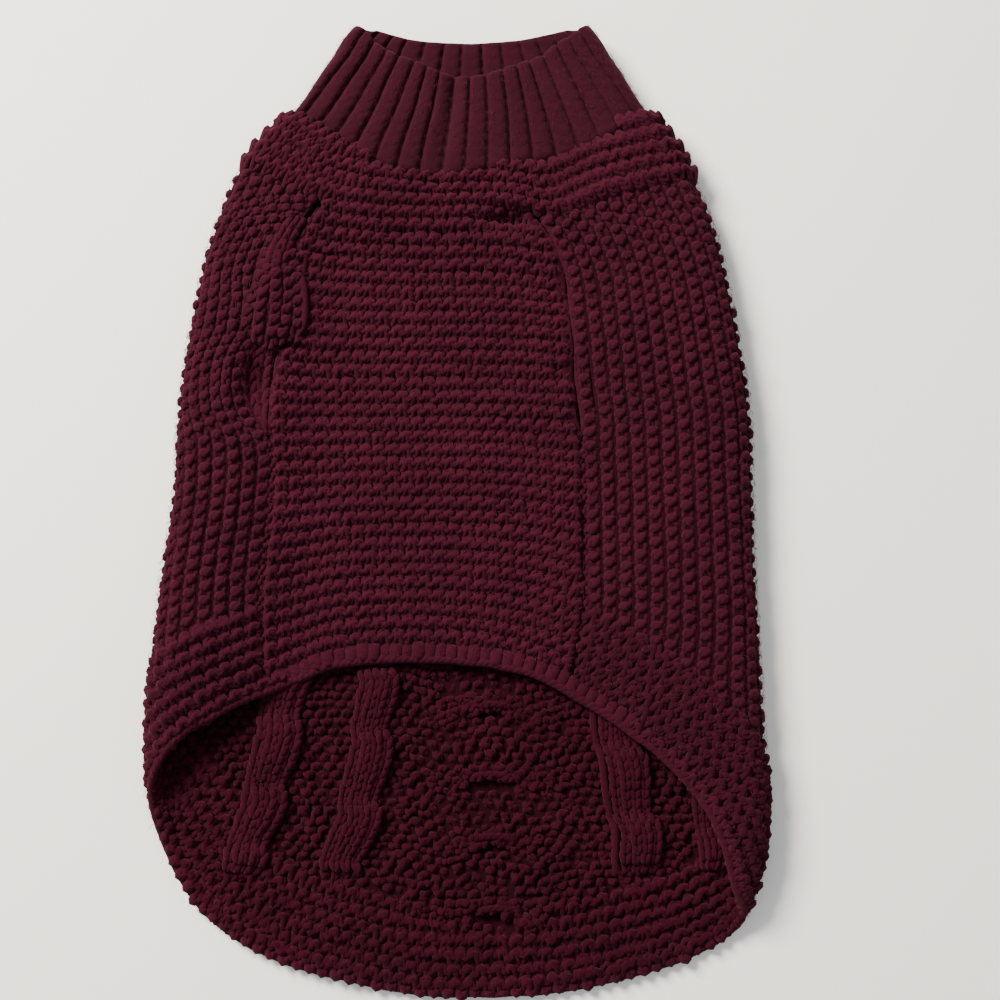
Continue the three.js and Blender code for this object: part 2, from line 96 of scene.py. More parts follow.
# The edges that run all the way round, as y at each share of the way to the left and to the right
RIM = table(
    "u left right",
    (0, 153, 153), (0.05, 153.6, 154), (0.1, 155, 156.2), (0.18, 158.5, 158.7), (0.25, 161, 161.2),
    (0.3, 163, 165), (0.35, 165.5, 167.5), (0.4, 169, 169.5), (0.45, 172, 172), (0.5, 175.3, 175.3),
    (0.56, 175.3, 175.5), (0.65, 173.5, 174), (0.8, 171, 171.5), (1, 170, 170),
)
COLLAR_BASE = table(
    "u left right",
    (0, 117.3, 117.3), (0.06, 116.5, 119), (0.12, 118, 121.3), (0.18, 120.5, 122.5), (0.22, 123.5, 123.7),
    (0.28, 129, 127.5), (0.34, 133, 131.5), (0.4, 136.7, 135.5), (0.46, 140, 139), (0.5, 141.5, 141.5),
    (0.56, 142, 142), (1, 143, 143),
)
YOKE_EDGE = table(
    "u left right",
    (0, 105, 105), (0.06, 104.5, 104.8), (0.12, 104.7, 103.3), (0.16, 105, 101.3), (0.2, 105.5, 102.5),
    (0.28, 107.5, 107.3), (0.38, 114.5, 111.5), (0.44, 117.5, 113.5), (0.5, 120, 115), (0.56, 120, 116),
    (0.7, 118, 117), (1, 118, 118),
)
HEM = table(
    "u left right",
    (0, -61.5, -61.5), (0.06, -61, -63), (0.13, -61.5, -67), (0.19, -63, -74.5), (0.25, -68.5, -83),
    (0.3, -73, -92), (0.34, -77, -101), (0.38, -82, -112.5), (0.4, -84.5, -121), (0.42, -88, -131),
    (0.44, -92, -139), (0.47, -101, -145.5), (0.5, -110, -149.5), (0.53, -121, -153.5), (0.56, -134, -158),
    (0.6, -146, -162.5), (0.66, -156, -167), (0.72, -162.5, -170.3), (0.78, -167, -173), (0.84, -170, -174.6),
    (0.92, -173.5, -175.5), (1, -175.5, -175.5),
)

# The belly seams: the widths of the leg band on the flank's and the belly's side of a slit, and the slit's own
SEAM_LEFT = table(
    "y u flank belly open",
    (107, -0.282, 0, 0, 0), (100.5, -0.305, 4.5, 2.5, 2.4), (90, -0.319, 7, 3, 2.3), (80, -0.322, 8.5, 3, 1.9),
    (70, -0.312, 9, 3, 1.2), (60, -0.306, 9, 3, 1.4), (54, -0.313, 8.5, 3, 2.8), (48, -0.329, 8, 3, 3),
    (38, -0.334, 8, 3, 1.6), (28, -0.33, 6, 3, 1.2), (18, -0.325, 0, 0, 0), (0, -0.318, 0, 0, 0),
    (-25, -0.318, 0, 0, 0), (-45, -0.313, 0, 0, 0), (-66, -0.302, 0, 0, 0),
)
SEAM_RIGHT = table(
    "y u flank belly open",
    (102.5, 0.137, 0, 0, 0), (97.5, 0.152, 3, 3, 2.4), (90, 0.172, 4, 4.5, 1.4), (80, 0.187, 4, 5, 1.2),
    (70, 0.189, 4, 5, 1.2), (60, 0.191, 4, 5, 1.2), (54, 0.192, 4.5, 4.5, 1.2), (48, 0.191, 5, 4, 1.2),
    (38, 0.19, 5.5, 3.5, 1.6), (28, 0.194, 4.5, 3, 2), (18, 0.199, 0, 0, 0), (0, 0.202, 0, 0, 0),
    (-25, 0.206, 0, 0, 0), (-45, 0.205, 0, 0, 0), (-66, 0.185, 0, 0, 0),
)

# Soft dips, swellings and creases of the upper layer, each an oval hill: its middle, its reach round and along,
# and its rise
SWELLS = table(
    "u y round along rise",
    (-0.345, 76, 0.03, 17, 2.2), (-0.354, 40, 0.026, 12.5, -4.8), (0.225, 36, 0.018, 13, -0.8),
    (-0.318, -15, 0.014, 26, -0.9), (0.204, -18, 0.014, 30, -0.7), (-0.055, 142, 0.022, 24, -1.7),
    (0.09, 101, 0.045, 3, -2.2), (0.02, 62, 0.07, 9, 0.6), (-0.18, 44, 0.06, 12, -0.5), (0.1, 20, 0.08, 8, -0.5),
    (-0.1, -6, 0.1, 10, 0.5), (0.3, 64, 0.03, 22, 0.6), (0.34, 8, 0.026, 30, -0.6), (-0.38, -8, 0.02, 24, 0.6),
    (0.28, -30, 0.03, 14, 0.6), (-0.2, -38, 0.05, 9, 0.5), (0.12, -34, 0.05, 8, -0.5), (0.26, 108, 0.05, 6, 0.7),
    (-0.2, 110, 0.06, 5, 0.6),
)

# The raised cable strips on the inside of the back, as shares of its half width from the middle
CABLES = table("middle half", (-0.605, 0.08), (-0.277, 0.068), (0.565, 0.068), (0.845, 0.06))
CABLE_CENTRE = 0.12
CABLE_END = -138
SPREAD_FROM = -60
SPREAD_LENGTH = 83
SPREAD = 0.45


def smooth(share):
    share = np.clip(share, 0, 1)
    return share * share * (3 - 2 * share)


def lerp(start, end, share):
    return start + (end - start) * share


def column_curve(rows, along, column):
    """A smooth curve through one column of a table, in steps of another"""
    order = np.argsort(rows[along])
    at = rows[along][order]
    value = rows[column][order]
    before = np.r_[0, 0:len(at) - 1]
    after = np.r_[1:len(at), len(at) - 1]
    slope = (value[after] - value[before]) / (at[after] - at[before])

    def curve(x):
        x = np.clip(x, at[0], at[-1])
        i = np.clip(np.searchsorted(at, x, side="right") - 1, 0, len(at) - 2)
        span = at[i + 1] - at[i]
        t = (x - at[i]) / span
        start = value[i] * (1 + 2 * t) * (1 - t) ** 2
        end = value[i + 1] * (3 - 2 * t) * t ** 2
        bend = slope[i] * t * (1 - t) ** 2 - slope[i + 1] * (1 - t) * t ** 2
        return start + end + bend * span

    return curve


def round_edge(rows):
    """An edge that runs all the way round, as y at a share u"""
    left = column_curve(rows, "u", "left")
    right = column_curve(rows, "u", "right")
    return lambda u: np.where(u < 0, left(-u), right(u))


outline = {name: column_curve(OUTLINE, "y", name) for name in ("left", "right", "fold", "middle", "turn")}
rim_y = round_edge(RIM)
collar_base_y = round_edge(COLLAR_BASE)
yoke_edge_y = round_edge(YOKE_EDGE)
hem_y = round_edge(HEM)


def wrap(u):
    """A share brought back to between -1 and 1"""
    return (u + 1) % 2 - 1


def skin(u, y):
    """The outer face of the whole sweater at a share u and a y"""
    u, y = np.broadcast_arrays(np.asarray(u, float), np.asarray(y, float))
    left, right, height, middle, turn = (outline[name](y) for name in ("left", "right", "fold", "middle", "turn"))
    centre = (left + right) / 2
    flat = (right - left) / 2 - turn
    side = np.where(u < 0, -1, 1)
    share = np.abs(u)
    angle = math.pi * (np.clip(share, TOP_SHARE, UNDER_SHARE) - TOP_SHARE) / (UNDER_SHARE - TOP_SHARE)
    in_from_fold = flat * (1 - share / TOP_SHARE)
    sag = smooth(in_from_fold / np.where(side < 0, SAG_REACH_LEFT, SAG_REACH_RIGHT))
    top_z = height - (height - middle) * sag
    for at_u, at_y, reach, along, rise in zip(*SWELLS.values()):
        hill = ((u - at_u) / reach) ** 2 + ((y - at_y) / along) ** 2
        top_z = top_z + rise * np.exp(-hill) * np.minimum(sag * 8, 1)
    is_under = share >= UNDER_SHARE
    is_top = share <= TOP_SHARE
    top_x = centre + side * flat * share / TOP_SHARE
    fold_x = centre + side * (flat + turn * np.sin(angle))
    under_x = centre + side * flat * (1 - share) / (1 - UNDER_SHARE)
    x = np.where(is_under, under_x, np.where(is_top, top_x, fold_x))
    z = np.where(is_under, 0, np.where(is_top, top_z, height / 2 * (1 + np.cos(angle))))
    return np.stack([x, y, z], axis=-1)


def unit(vectors):
    return vectors / np.maximum(np.linalg.norm(vectors, axis=-1, keepdims=True), 1e-9)


def outward(u, y):
    """The way out of the cloth"""
    step_u, step_y = 0.002, 0.5
    across = skin(wrap(u + step_u), y) - skin(wrap(u - step_u), y)
    along = skin(u, y + step_y) - skin(u, y - step_y)
    return unit(np.cross(across, along))


def on_cloth(u, y, raised):
    """Points raised from the outer face by a distance, or sunk into the cloth where that is negative"""
    u = wrap(u)
    return skin(u, y) + outward(u, y) * np.asarray(raised, float)[..., None]


def turned_under(u):
    """How far a share has turned to the underside, which rests flat: 0 above and 1 below"""
    return smooth((np.abs(wrap(u)) - 0.49) / 0.05)


def square_down(edge_y, u):
    """The way square to an edge and towards the hem, as a change of share and of y for each millimetre"""
    step = 0.006
    rise = (edge_y(wrap(u + step)) - edge_y(wrap(u - step))) / (2 * step * GIRTH_PER_SHARE)
    length = np.hypot(1, rise)
    return rise / length / GIRTH_PER_SHARE, -1 / length


def make_panel_end():
    """The lower edge of the panels: the hem moved up, square to itself, by the hem band's width and a gap"""
    u = np.concatenate([-HEM["u"][::-1], HEM["u"][1:]])
    down_u, down_y = square_down(hem_y, u)
    distance = HEM_BAND_WIDTH + GAP
    return column_curve({"u": u - down_u * distance, "y": hem_y(u) - down_y * distance}, "u", "y")


panel_end_y = make_panel_end()


def seam_edges(seam):
    """The shares of a belly seam's edges at a y: the flank's, the belly's and the slit's own two"""
    side = -1 if seam["u"][0] < 0 else 1
    middle = column_curve(seam, "y", "u")
    flank = column_curve(seam, "y", "flank")
    belly = column_curve(seam, "y", "belly")
    slit = column_curve(seam, "y", "open")

    def beside(width):
        return lambda y: middle(y) + side * width(y) / GIRTH_PER_SHARE

    return {
        "flank": beside(lambda y: slit(y) / 2 + flank(y)),
        "belly": beside(lambda y: -slit(y) / 2 - belly(y)),
        "slit_flank": beside(lambda y: slit(y) / 2),
        "slit_belly": beside(lambda y: -slit(y) / 2),
        "side": side,
    }


left_seam = seam_edges(SEAM_LEFT)
right_seam = seam_edges(SEAM_RIGHT)


# Meshes and strands of yarn

def add_mesh(name, points, faces, uvs=None):
    """A piece from its points in millimetres and its faces, one array for each number of corners"""
    mesh = bpy.data.meshes.new(name)
    corners = np.concatenate([group.ravel() for group in faces]).astype(np.int32)
    sizes = np.concatenate([np.full(len(group), group.shape[1]) for group in faces])
    starts = np.concatenate([[0], np.cumsum(sizes)[:-1]]).astype(np.int32)
    mesh.vertices.add(len(points))
    mesh.vertices.foreach_set("co", (points * MM).astype(np.float32).ravel())
    mesh.loops.add(len(corners))
    mesh.loops.foreach_set("vertex_index", corners)
    mesh.polygons.add(len(sizes))
    mesh.polygons.foreach_set("loop_start", starts)
    mesh.polygons.foreach_set("use_smooth", np.ones(len(sizes), bool))
    if uvs is not None:
        layer = mesh.uv_layers.new(name="yarn")
        layer.uv.foreach_set("vector", uvs.astype(np.float32).ravel())
    mesh.update(calc_edges=True)
    piece = bpy.data.objects.new(name, mesh)
    bpy.context.scene.collection.objects.link(piece)
    return piece


class Yarn:
    """The strands of yarn of one piece"""

    def __init__(self):
        self.points = []
        self.sides = []
        self.ends = {}
        self.side_uvs = []
        self.end_uvs = {}
        self.count = 0

    def add(self, centres, ups, wide, high, corners=5):
        """Tubes along centres (strand, step, xyz), as wide and high as given at each step"""
        strands, steps = centres.shape[:2]
        wide = np.broadcast_to(wide, (strands, steps))[..., None, None]
        high = np.broadcast_to(high, (strands, steps))[..., None, None]
        way = unit(np.gradient(centres, axis=1))
        side = unit(np.cross(way, ups))
        up = np.cross(side, way)
        angle = 2 * math.pi * np.arange(corners) / corners
        across = wide * np.cos(angle)[:, None] * side[:, :, None]
        rise = high * np.sin(angle)[:, None] * up[:, :, None]
        ring = centres[:, :, None] + across + rise
        ring[..., 2] = np.maximum(ring[..., 2], 0)
        base = self.count + np.arange(strands)[:, None, None] * steps * corners
        step = np.arange(steps - 1)[None, :, None] * corners
        here = np.arange(corners)[None, None, :]
        after = (here + 1) % corners
        first = base + step
        quad = np.stack([first + here, first + corners + here, first + corners + after, first + after], axis=-1)
        self.points.append(ring.reshape(-1, 3))
        self.sides.append(quad.reshape(-1, 4))
        length = np.linalg.norm(np.diff(centres, axis=1), axis=-1)
        length = np.concatenate([np.zeros((strands, 1)), np.cumsum(length, axis=1)], axis=1) / 10
        low, top = length[:, :-1, None], length[:, 1:, None]
        left = np.broadcast_to(here / corners, quad.shape[:3])
        right = left + 1 / corners
        low, top = np.broadcast_to(low, left.shape), np.broadcast_to(top, left.shape)
        uv = np.stack([left, low, left, top, right, top, right, low], axis=-1)
        self.side_uvs.append(uv.reshape(-1, 2))
        start = base[:, 0] + np.arange(corners)
        finish = base[:, 0] + (steps - 1) * corners + np.arange(corners)[::-1]
        ends = np.concatenate([start, finish])
        self.ends.setdefault(corners, []).append(ends)
        self.end_uvs.setdefault(corners, []).append(np.full((ends.size, 2), 0.5))
        self.count += strands * steps * corners

    def make(self, name):
        faces = [np.concatenate(self.sides)]
        uvs = [np.concatenate(self.side_uvs)]
        for corners, ends in self.ends.items():
            faces.append(np.concatenate(ends))
            uvs.append(np.concatenate(self.end_uvs[corners]))
        return add_mesh(name, np.concatenate(self.points), faces, np.concatenate(uvs))


# Lines of knitting

# A line is a list of places on the cloth, each a share u and a y, and its places are one stitch
# apart. A share may pass 1 where a line crosses the middle of the underside.

def line_of(u, y):
    u, y = np.broadcast_arrays(np.asarray(u, float), np.asarray(y, float))
    return np.stack([u, y], axis=-1)


def girth(y):
    """The millimetres round the cloth for each share"""
    return ((outline["right"](y) - outline["left"](y)) / 2 - outline["turn"](y)) / TOP_SHARE


def lengths(line):
    steps = np.diff(line, axis=0)
    across = steps[:, 0] * girth((line[1:, 1] + line[:-1, 1]) / 2)
    return np.concatenate([[0], np.cumsum(np.hypot(across, steps[:, 1]))])


def spaced(line, pitch):
    """The line with its places one stitch apart"""
    length = lengths(line)
    stitches = max(int(round(length[-1] / pitch)), 2)
    at = np.linspace(0, length[-1], stitches + 1)
    return np.stack([np.interp(at, length, line[:, k]) for k in (0, 1)], axis=-1)


def beside_line(line, at, off):
    """The places at a number of stitches along a line and a distance square to it"""
    steps = np.arange(len(line))
    place = np.stack([np.interp(at, steps, line[:, k]) for k in (0, 1)], axis=-1)
    way = np.gradient(line, axis=0)
    way[:, 0] *= girth(line[:, 1])
    way = unit(way)
    way = unit(np.stack([np.interp(at, steps, way[:, k]) for k in (0, 1)], axis=-1))
    off = np.asarray(off, float)
    u = place[..., 0] - way[..., 1] * off / girth(place[..., 1])
    return np.stack([u, place[..., 1] + way[..., 0] * off], axis=-1)


def wobble(rng, at, size):
    """An uneven value along a line, one for each stitch"""
    knots = rng.normal(0, size, int(at.max()) + 3)
    i = np.floor(at).astype(int)
    return lerp(knots[i], knots[i + 1], smooth(at - i))


STEPS = 10


def steps_along(line):
    """The yarn's steps along a line, in stitches"""
    return np.arange((len(line) - 1) * STEPS + 1) / STEPS


def knit_line(yarn, rng, line, face, reach, depth, centre=0, raised=0, thick=YARN, inside=False, uneven=1, lean=0.03):
    """One row of stitches along a line. face(t) says how far forward the yarn is at t stitches along."""
    t = steps_along(line)
    at = t + lean * np.sin(4 * math.pi * t) + wobble(rng, t, 0.035 * uneven)
    off = centre - reach * np.cos(2 * math.pi * t) + wobble(rng, t, 0.16 * uneven)
    height = depth * face(t) + wobble(rng, t, 0.14 * uneven)
    place = beside_line(line, at, off)
    height = height + (raised(place) if callable(raised) else raised)
    lay(yarn, place[None], height[None], thick * (1 + wobble(rng, t, 0.05 * uneven)[None]), inside)


def lay(yarn, place, height, thick, inside=False, corners=5, flat=0.94):
    """Yarn laid on the cloth at places on the flat, on its outer face or on its inner one"""
    u, y = wrap(place[..., 0]), place[..., 1]
    out = outward(u, y)
    if inside:
        centres = skin(u, y) - out * (WALL + height)[..., None]
        out = -out
    else:
        centres = skin(u, y) + out * height[..., None]
    yarn.add(centres, out, thick, thick * flat, corners)


def heads(t):
    return -np.cos(2 * math.pi * t)


def feet(t):
    return np.cos(2 * math.pi * t)


def purl(t):
    return np.cos(4 * math.pi * t)


def garter_ridge(yarn, rng, line, ridge=RIDGE, raised=0.0, inside=False, thick=1.0, uneven=1.3):
    """Two rows of garter knitting, which make one ridge: the tall heads of one and the low feet of the next"""
    options = {"raised": raised, "inside": inside, "uneven": uneven}
    knit_line(yarn, rng, line, heads, 0.42 * ridge, 1.2, -0.22 * ridge, thick=1.34 * thick, **options)
    knit_line(yarn, rng, line, feet, 0.34 * ridge, 0.75, 0.22 * ridge, thick=1.22 * thick, **options)


def leg_column(yarn, rng, line, width, thick, raised=0.0, inside=False, depth=0.8, steps=7, corners=6):
    """A column of knit stitches: two slanting legs for each stitch of the line"""
    stitches = len(line) - 1
    q = np.linspace(0, 1, steps)
    first = np.arange(stitches)[:, None]
    at = np.clip(first + 1.42 * q[None] - 0.2, 0, stitches)
    for way in (-1, 1):
        off = way * width * (0.1 + 0.3 * np.sin(q * math.pi / 2))
        off = np.broadcast_to(off, at.shape) + rng.normal(0, 1, (stitches, 1)) * 0.05 * width
        height = raised + depth * np.sin(np.clip(q * 1.15, 0, 1) * math.pi) - 0.35
        height = np.broadcast_to(height, at.shape) + rng.normal(0, 0.08, (stitches, 1))
        shape = thick * (0.72 + 0.28 * np.sin(q * math.pi))
        lay(yarn, beside_line(line, at, off), height, np.broadcast_to(shape, at.shape), inside, corners)


def bead_column(yarn, rng, line, width, half, raised):
    """A column of round purl bumps along a line, with the stitches' legs lower down between them"""
    stitches = len(line) - 1
    across = np.linspace(-1, 1, 7)[None]
    middle = np.arange(stitches - 1)[:, None] + 0.5 + half + rng.normal(0, 0.05, (stitches - 1, 1))
    at = middle + 0.09 * across ** 2 + rng.normal(0, 0.06, (stitches - 1, 1)) * across
    width_here = np.interp(middle, np.arange(len(width)), width)
    off = 0.34 * width_here * across + rng.normal(0, 0.16, (stitches - 1, 1))
    place = beside_line(line, at, off)
    round_end = np.sqrt(1 - (0.88 * across) ** 2)
    height = raised(place) - 1.0 + 0.95 * (round_end - 1) + rng.normal(0, 0.16, (stitches - 1, 1))
    lay(yarn, place, height, 1.98 * round_end * (1 + rng.normal(0, 0.06, (stitches - 1, 1))), corners=7, flat=0.7)
    at = np.arange(stitches * 5 + 1) / 5
    width_here = np.interp(at, np.arange(len(width)), width)
    for side in (-1, 1):
        off = side * width_here * (0.235 + 0.06 * np.cos(2 * math.pi * (at - half)))
        place = beside_line(line, at, off + wobble(rng, at, 0.12))
        height = raised(place) - 1.85 + 0.25 * np.cos(2 * math.pi * (at - half)) + wobble(rng, at, 0.15)
        lay(yarn, place[None], height[None], 1.08, corners=5)


def lay_over(yarn, place, height, core_y, wide, high, corners=8):
    """Yarn that turns over an edge of the cloth. It faces away from a core inside the wall."""
    centres = on_cloth(place[..., 0], place[..., 1], height)
    core = on_cloth(place[..., 0], core_y, np.full(height.shape, -WALL / 2))
    yarn.add(centres, unit(centres - core), wide, high, corners)


# The cloth shells that carry the yarn

SHELL_TOP = 1.15
SHELL_INSIDE = 2.5


def cloth_shell(name, u, y, closed, outer=None, inner=None, uv=None):
    """A thin closed wall through a grid of places, each line of it a row of the arrays u and y"""
    under = turned_under(u)
    outer_height = -SHELL_TOP * (1 - under) if outer is None else outer
    inner_height = np.full(u.shape, -SHELL_INSIDE) if inner is None else inner + np.zeros(u.shape)
    points = np.stack([on_cloth(u, y, outer_height), on_cloth(u, y, inner_height)], axis=2)
    points[..., 2] = np.maximum(points[..., 2], 0)
    lines, rows = u.shape
    index = np.arange(lines * rows * 2).reshape(lines, rows, 2)
    if closed:
        index = np.concatenate([index, index[:1]])
    out, inn = index[..., 0], index[..., 1]

    def quads(a, b, c, d):
        return np.stack([a.ravel(), b.ravel(), c.ravel(), d.ravel()], axis=-1)

    faces = [
        quads(out[:-1, :-1], out[:-1, 1:], out[1:, 1:], out[1:, :-1]),
        quads(inn[:-1, :-1], inn[1:, :-1], inn[1:, 1:], inn[:-1, 1:]),
        quads(out[:-1, 0], out[1:, 0], inn[1:, 0], inn[:-1, 0]),
        quads(out[:-1, -1], inn[:-1, -1], inn[1:, -1], out[1:, -1]),
    ]
    if not closed:
        faces.append(quads(out[0, :-1], inn[0, :-1], inn[0, 1:], out[0, 1:]))
        faces.append(quads(out[-1, :-1], out[-1, 1:], inn[-1, 1:], inn[-1, :-1]))
    faces = np.concatenate(faces)
    uvs = None if uv is None else uv.reshape(-1, 2)[faces.ravel() // 2]
    return add_mesh(name, points.reshape(-1, 3), [faces], uvs)


# The places of the pieces

def belly_place(across, down, edge="belly"):
    """A place on the belly panel: a share across it from its left edge to its right one, and a share down it"""
    top, end = 104.0, -56.0
    y = lerp(top, end, down)
    for _ in range(8):
        u = lerp(left_seam[edge](y), right_seam[edge](y), across)
        top_bend = (yoke_edge_y(u) - GAP - top) * (1 - down) ** 3
        end_bend = (panel_end_y(u) - end) * down ** 3
        y = lerp(top, end, down) + top_bend + end_bend
    return u, y


def border_line(distance, start, end, steps=400):
    """A line beside the panels' lower edge, at a distance square to it and between two shares"""
    u = np.linspace(start - 0.1, end + 0.1, steps)
    edge = line_of(u, panel_end_y(wrap(u)))
    line = beside_line(edge, np.arange(steps), np.full(steps, float(distance)))
    return line[(line[:, 0] >= start) & (line[:, 0] <= end)]


border_top = border_line(BORDER_RIDGES * RIDGE + 0.6, -0.75, 0.75)


def border_top_y(u):
    """Where the bead columns of the flanks end"""
    return np.interp(u, border_top[:, 0], border_top[:, 1])


def flank_place(seam, across, down, edge="flank"):
    """A place on a flank: a share across it from its front edge to the underside, and a share down to its border"""
    y = lerp(105.0, -50.0, down)
    for _ in range(12):
        u = lerp(seam[edge](y), seam["side"] * UNDER_SHARE, across)
        y = lerp(yoke_edge_y(u) - GAP, border_top_y(u), down)
    return u, y


def cloth_x(u, y):
    return skin(wrap(u), y)[..., 0]


# How high the yarn lies: its middle is this far under the cloth's outer face before its stitch lifts it
SUNK = -0.95


def plain_below(place):
    """The yarn sinks into the cloth where the cloth turns to the underside"""
    return SUNK - 1.1 * turned_under(place[..., 0])


DIMPLES = table(
    "x y wide high deep", (-19.6, 94.5, 2.4, 2, 1.7), (-5.1, 93.2, 2.4, 2, 1.7), (20, 99.5, 10, 2.9, 3.0),
    (38.2, 44, 3.4, 3, 2.2), (37, 76, 3.4, 8, 1.7), (41.5, 27, 2, 4, 1.6),
)


def dimpled(place):
    """Two small gathered places near the top of the belly, and hollows under the yoke's edge and beside a slit"""
    x, y = cloth_x(place[..., 0], place[..., 1]), place[..., 1]
    dip = 0
    for at_x, at_y, wide, high, deep in zip(*DIMPLES.values()):
        dip = dip + deep * np.exp(-((x - at_x) / wide) ** 2 - ((y - at_y) / high) ** 2)
    return SUNK - dip


def make_belly_knit():
    yarn, rng = Yarn(), np.random.default_rng(11)
    for ridge in range(BELLY_RIDGES):
        u, y = belly_place(np.linspace(0.012, 0.988, 80), (ridge + 0.5) / BELLY_RIDGES, "slit_belly")
        garter_ridge(yarn, rng, spaced(line_of(u, y), STITCH), raised=dimpled)
    for seam in (left_seam, right_seam):
        y = np.linspace(18, -58, 60)
        line = spaced(line_of((seam["flank"](y) + seam["belly"](y)) / 2, y), 3.6)
        knit_line(yarn, rng, line, purl, 0.5, 0.45, raised=-1.7, thick=1.1, uneven=1.5)
    return yarn.make("belly_garter_stitches")


BEAD_PITCH = 4.95


def faded_below(place):
    return -1.1 * turned_under(place[..., 0])


def make_flank_knit(name, seam, columns, edge, number):
    """Columns of beads from the yoke to the border. Each column's beads lie half a stitch beside its neighbours'."""
    yarn, rng = Yarn(), np.random.default_rng(number)
    down = np.linspace(0.0, 1.04, 90)
    for column in range(columns):
        u, y = flank_place(seam, (column + 0.5) / columns, down, edge)
        if turned_under(u).min() > 0.8:
            continue
        fine = line_of(u, y)
        length = lengths(fine)
        at = np.arange(0, length[-1] + BEAD_PITCH, BEAD_PITCH)
        line = np.stack([np.interp(at, length, fine[:, k]) for k in (0, 1)], axis=-1)
        width = (UNDER_SHARE - np.abs(seam[edge](line[:, 1]))) * girth(line[:, 1]) / columns
        bead_column(yarn, rng, line, width, 0.5 * (column % 2), faded_below)
    return yarn.make(name)


def make_border_knit(name, seam, number):
    """The garter border of a flank, whose ridges follow the hem"""
    yarn, rng = Yarn(), np.random.default_rng(number)
    side = seam["side"]
    start, end = sorted([0.17 * side, UNDER_SHARE * side])
    for ridge in range(BORDER_RIDGES):
        line = border_line((ridge + 0.45) * RIDGE, start, end)
        line = line[line[:, 0] * side > seam["flank"](line[:, 1]) * side]
        garter_ridge(yarn, rng, spaced(line, STITCH), raised=plain_below, thick=1.08, uneven=1.6)
    return yarn.make(name)


def yoke_height(place):
    """The yoke stands out at the folds, and its edge overhangs the hollow near the top of the belly"""
    u, y = wrap(place[..., 0]), place[..., 1]
    overhang = np.exp(-((u - 0.095) / 0.05) ** 2) * smooth(1 - (y - yoke_edge_y(u) - 2) / 5)
    return plain_below(place) + 0.9 * smooth(np.abs(u) / 0.45) + 0.9 * overhang


def make_yoke_knit():
    """Ridges beside the yoke's lower edge. The upper ones run out under the collar towards the middle."""
    yarn, rng = Yarn(), np.random.default_rng(31)
    u = np.linspace(-0.56, 0.56, 300)
    to_fold = smooth(np.abs(u) / 0.3)
    pitch = lerp(4.1, 5.0, to_fold)
    for ridge in range(YOKE_RIDGES):
        y = yoke_edge_y(u) + (ridge + 0.45) * pitch
        kept = y < collar_base_y(u) - 0.1
        for stretch in np.split(np.arange(len(u)), np.flatnonzero(np.diff(kept)) + 1):
            if kept[stretch[0]] and len(stretch) > 12:
                line = spaced(line_of(u[stretch], y[stretch]), STITCH)
                swell = np.interp(np.interp(steps_along(line), np.arange(len(line)), line[:, 0]), u, to_fold)
                garter_ridge(yarn, rng, line, lerp(4.2, 5.5, swell), yoke_height, thick=lerp(1.0, 1.04, swell)[None])
    return yarn.make("yoke_garter_stitches")


RIB_SPREAD = 0.87


def rib_edges():
    """The edges of the collar's ribs, as shares: closer in the middle of the front, from where they fan out"""
    front = np.linspace(-0.5, 0.5, FRONT_RIBS + 1)
    front = RIB_SPREAD * front + 4 * (1 - RIB_SPREAD) * front ** 3
    back = np.linspace(0.5, 1.5, BACK_RIBS + 1)
    return list(zip(front[:-1], front[1:])) + list(zip(back[:-1], back[1:]))


def tucked(u, y):
    """How far the collar draws in at the folds, where the yoke stands out round it"""
    fold = smooth((np.abs(wrap(u)) - 0.34) / 0.14) * smooth((0.7 - np.abs(wrap(u))) / 0.14)
    return 2.0 * fold * smooth(1 - (y - collar_base_y(wrap(u))) / 18)


RIB_LINES = 12
RIM_ROWS = table(
    "down outer inner", (0.2, -1.3, -1.7), (0.3, -0.95, -2.05), (0.55, -0.55, -2.45), (1.0, -0.25, -2.75),
    (1.6, -0.07, -2.93), (2.3, 0, -3),
)


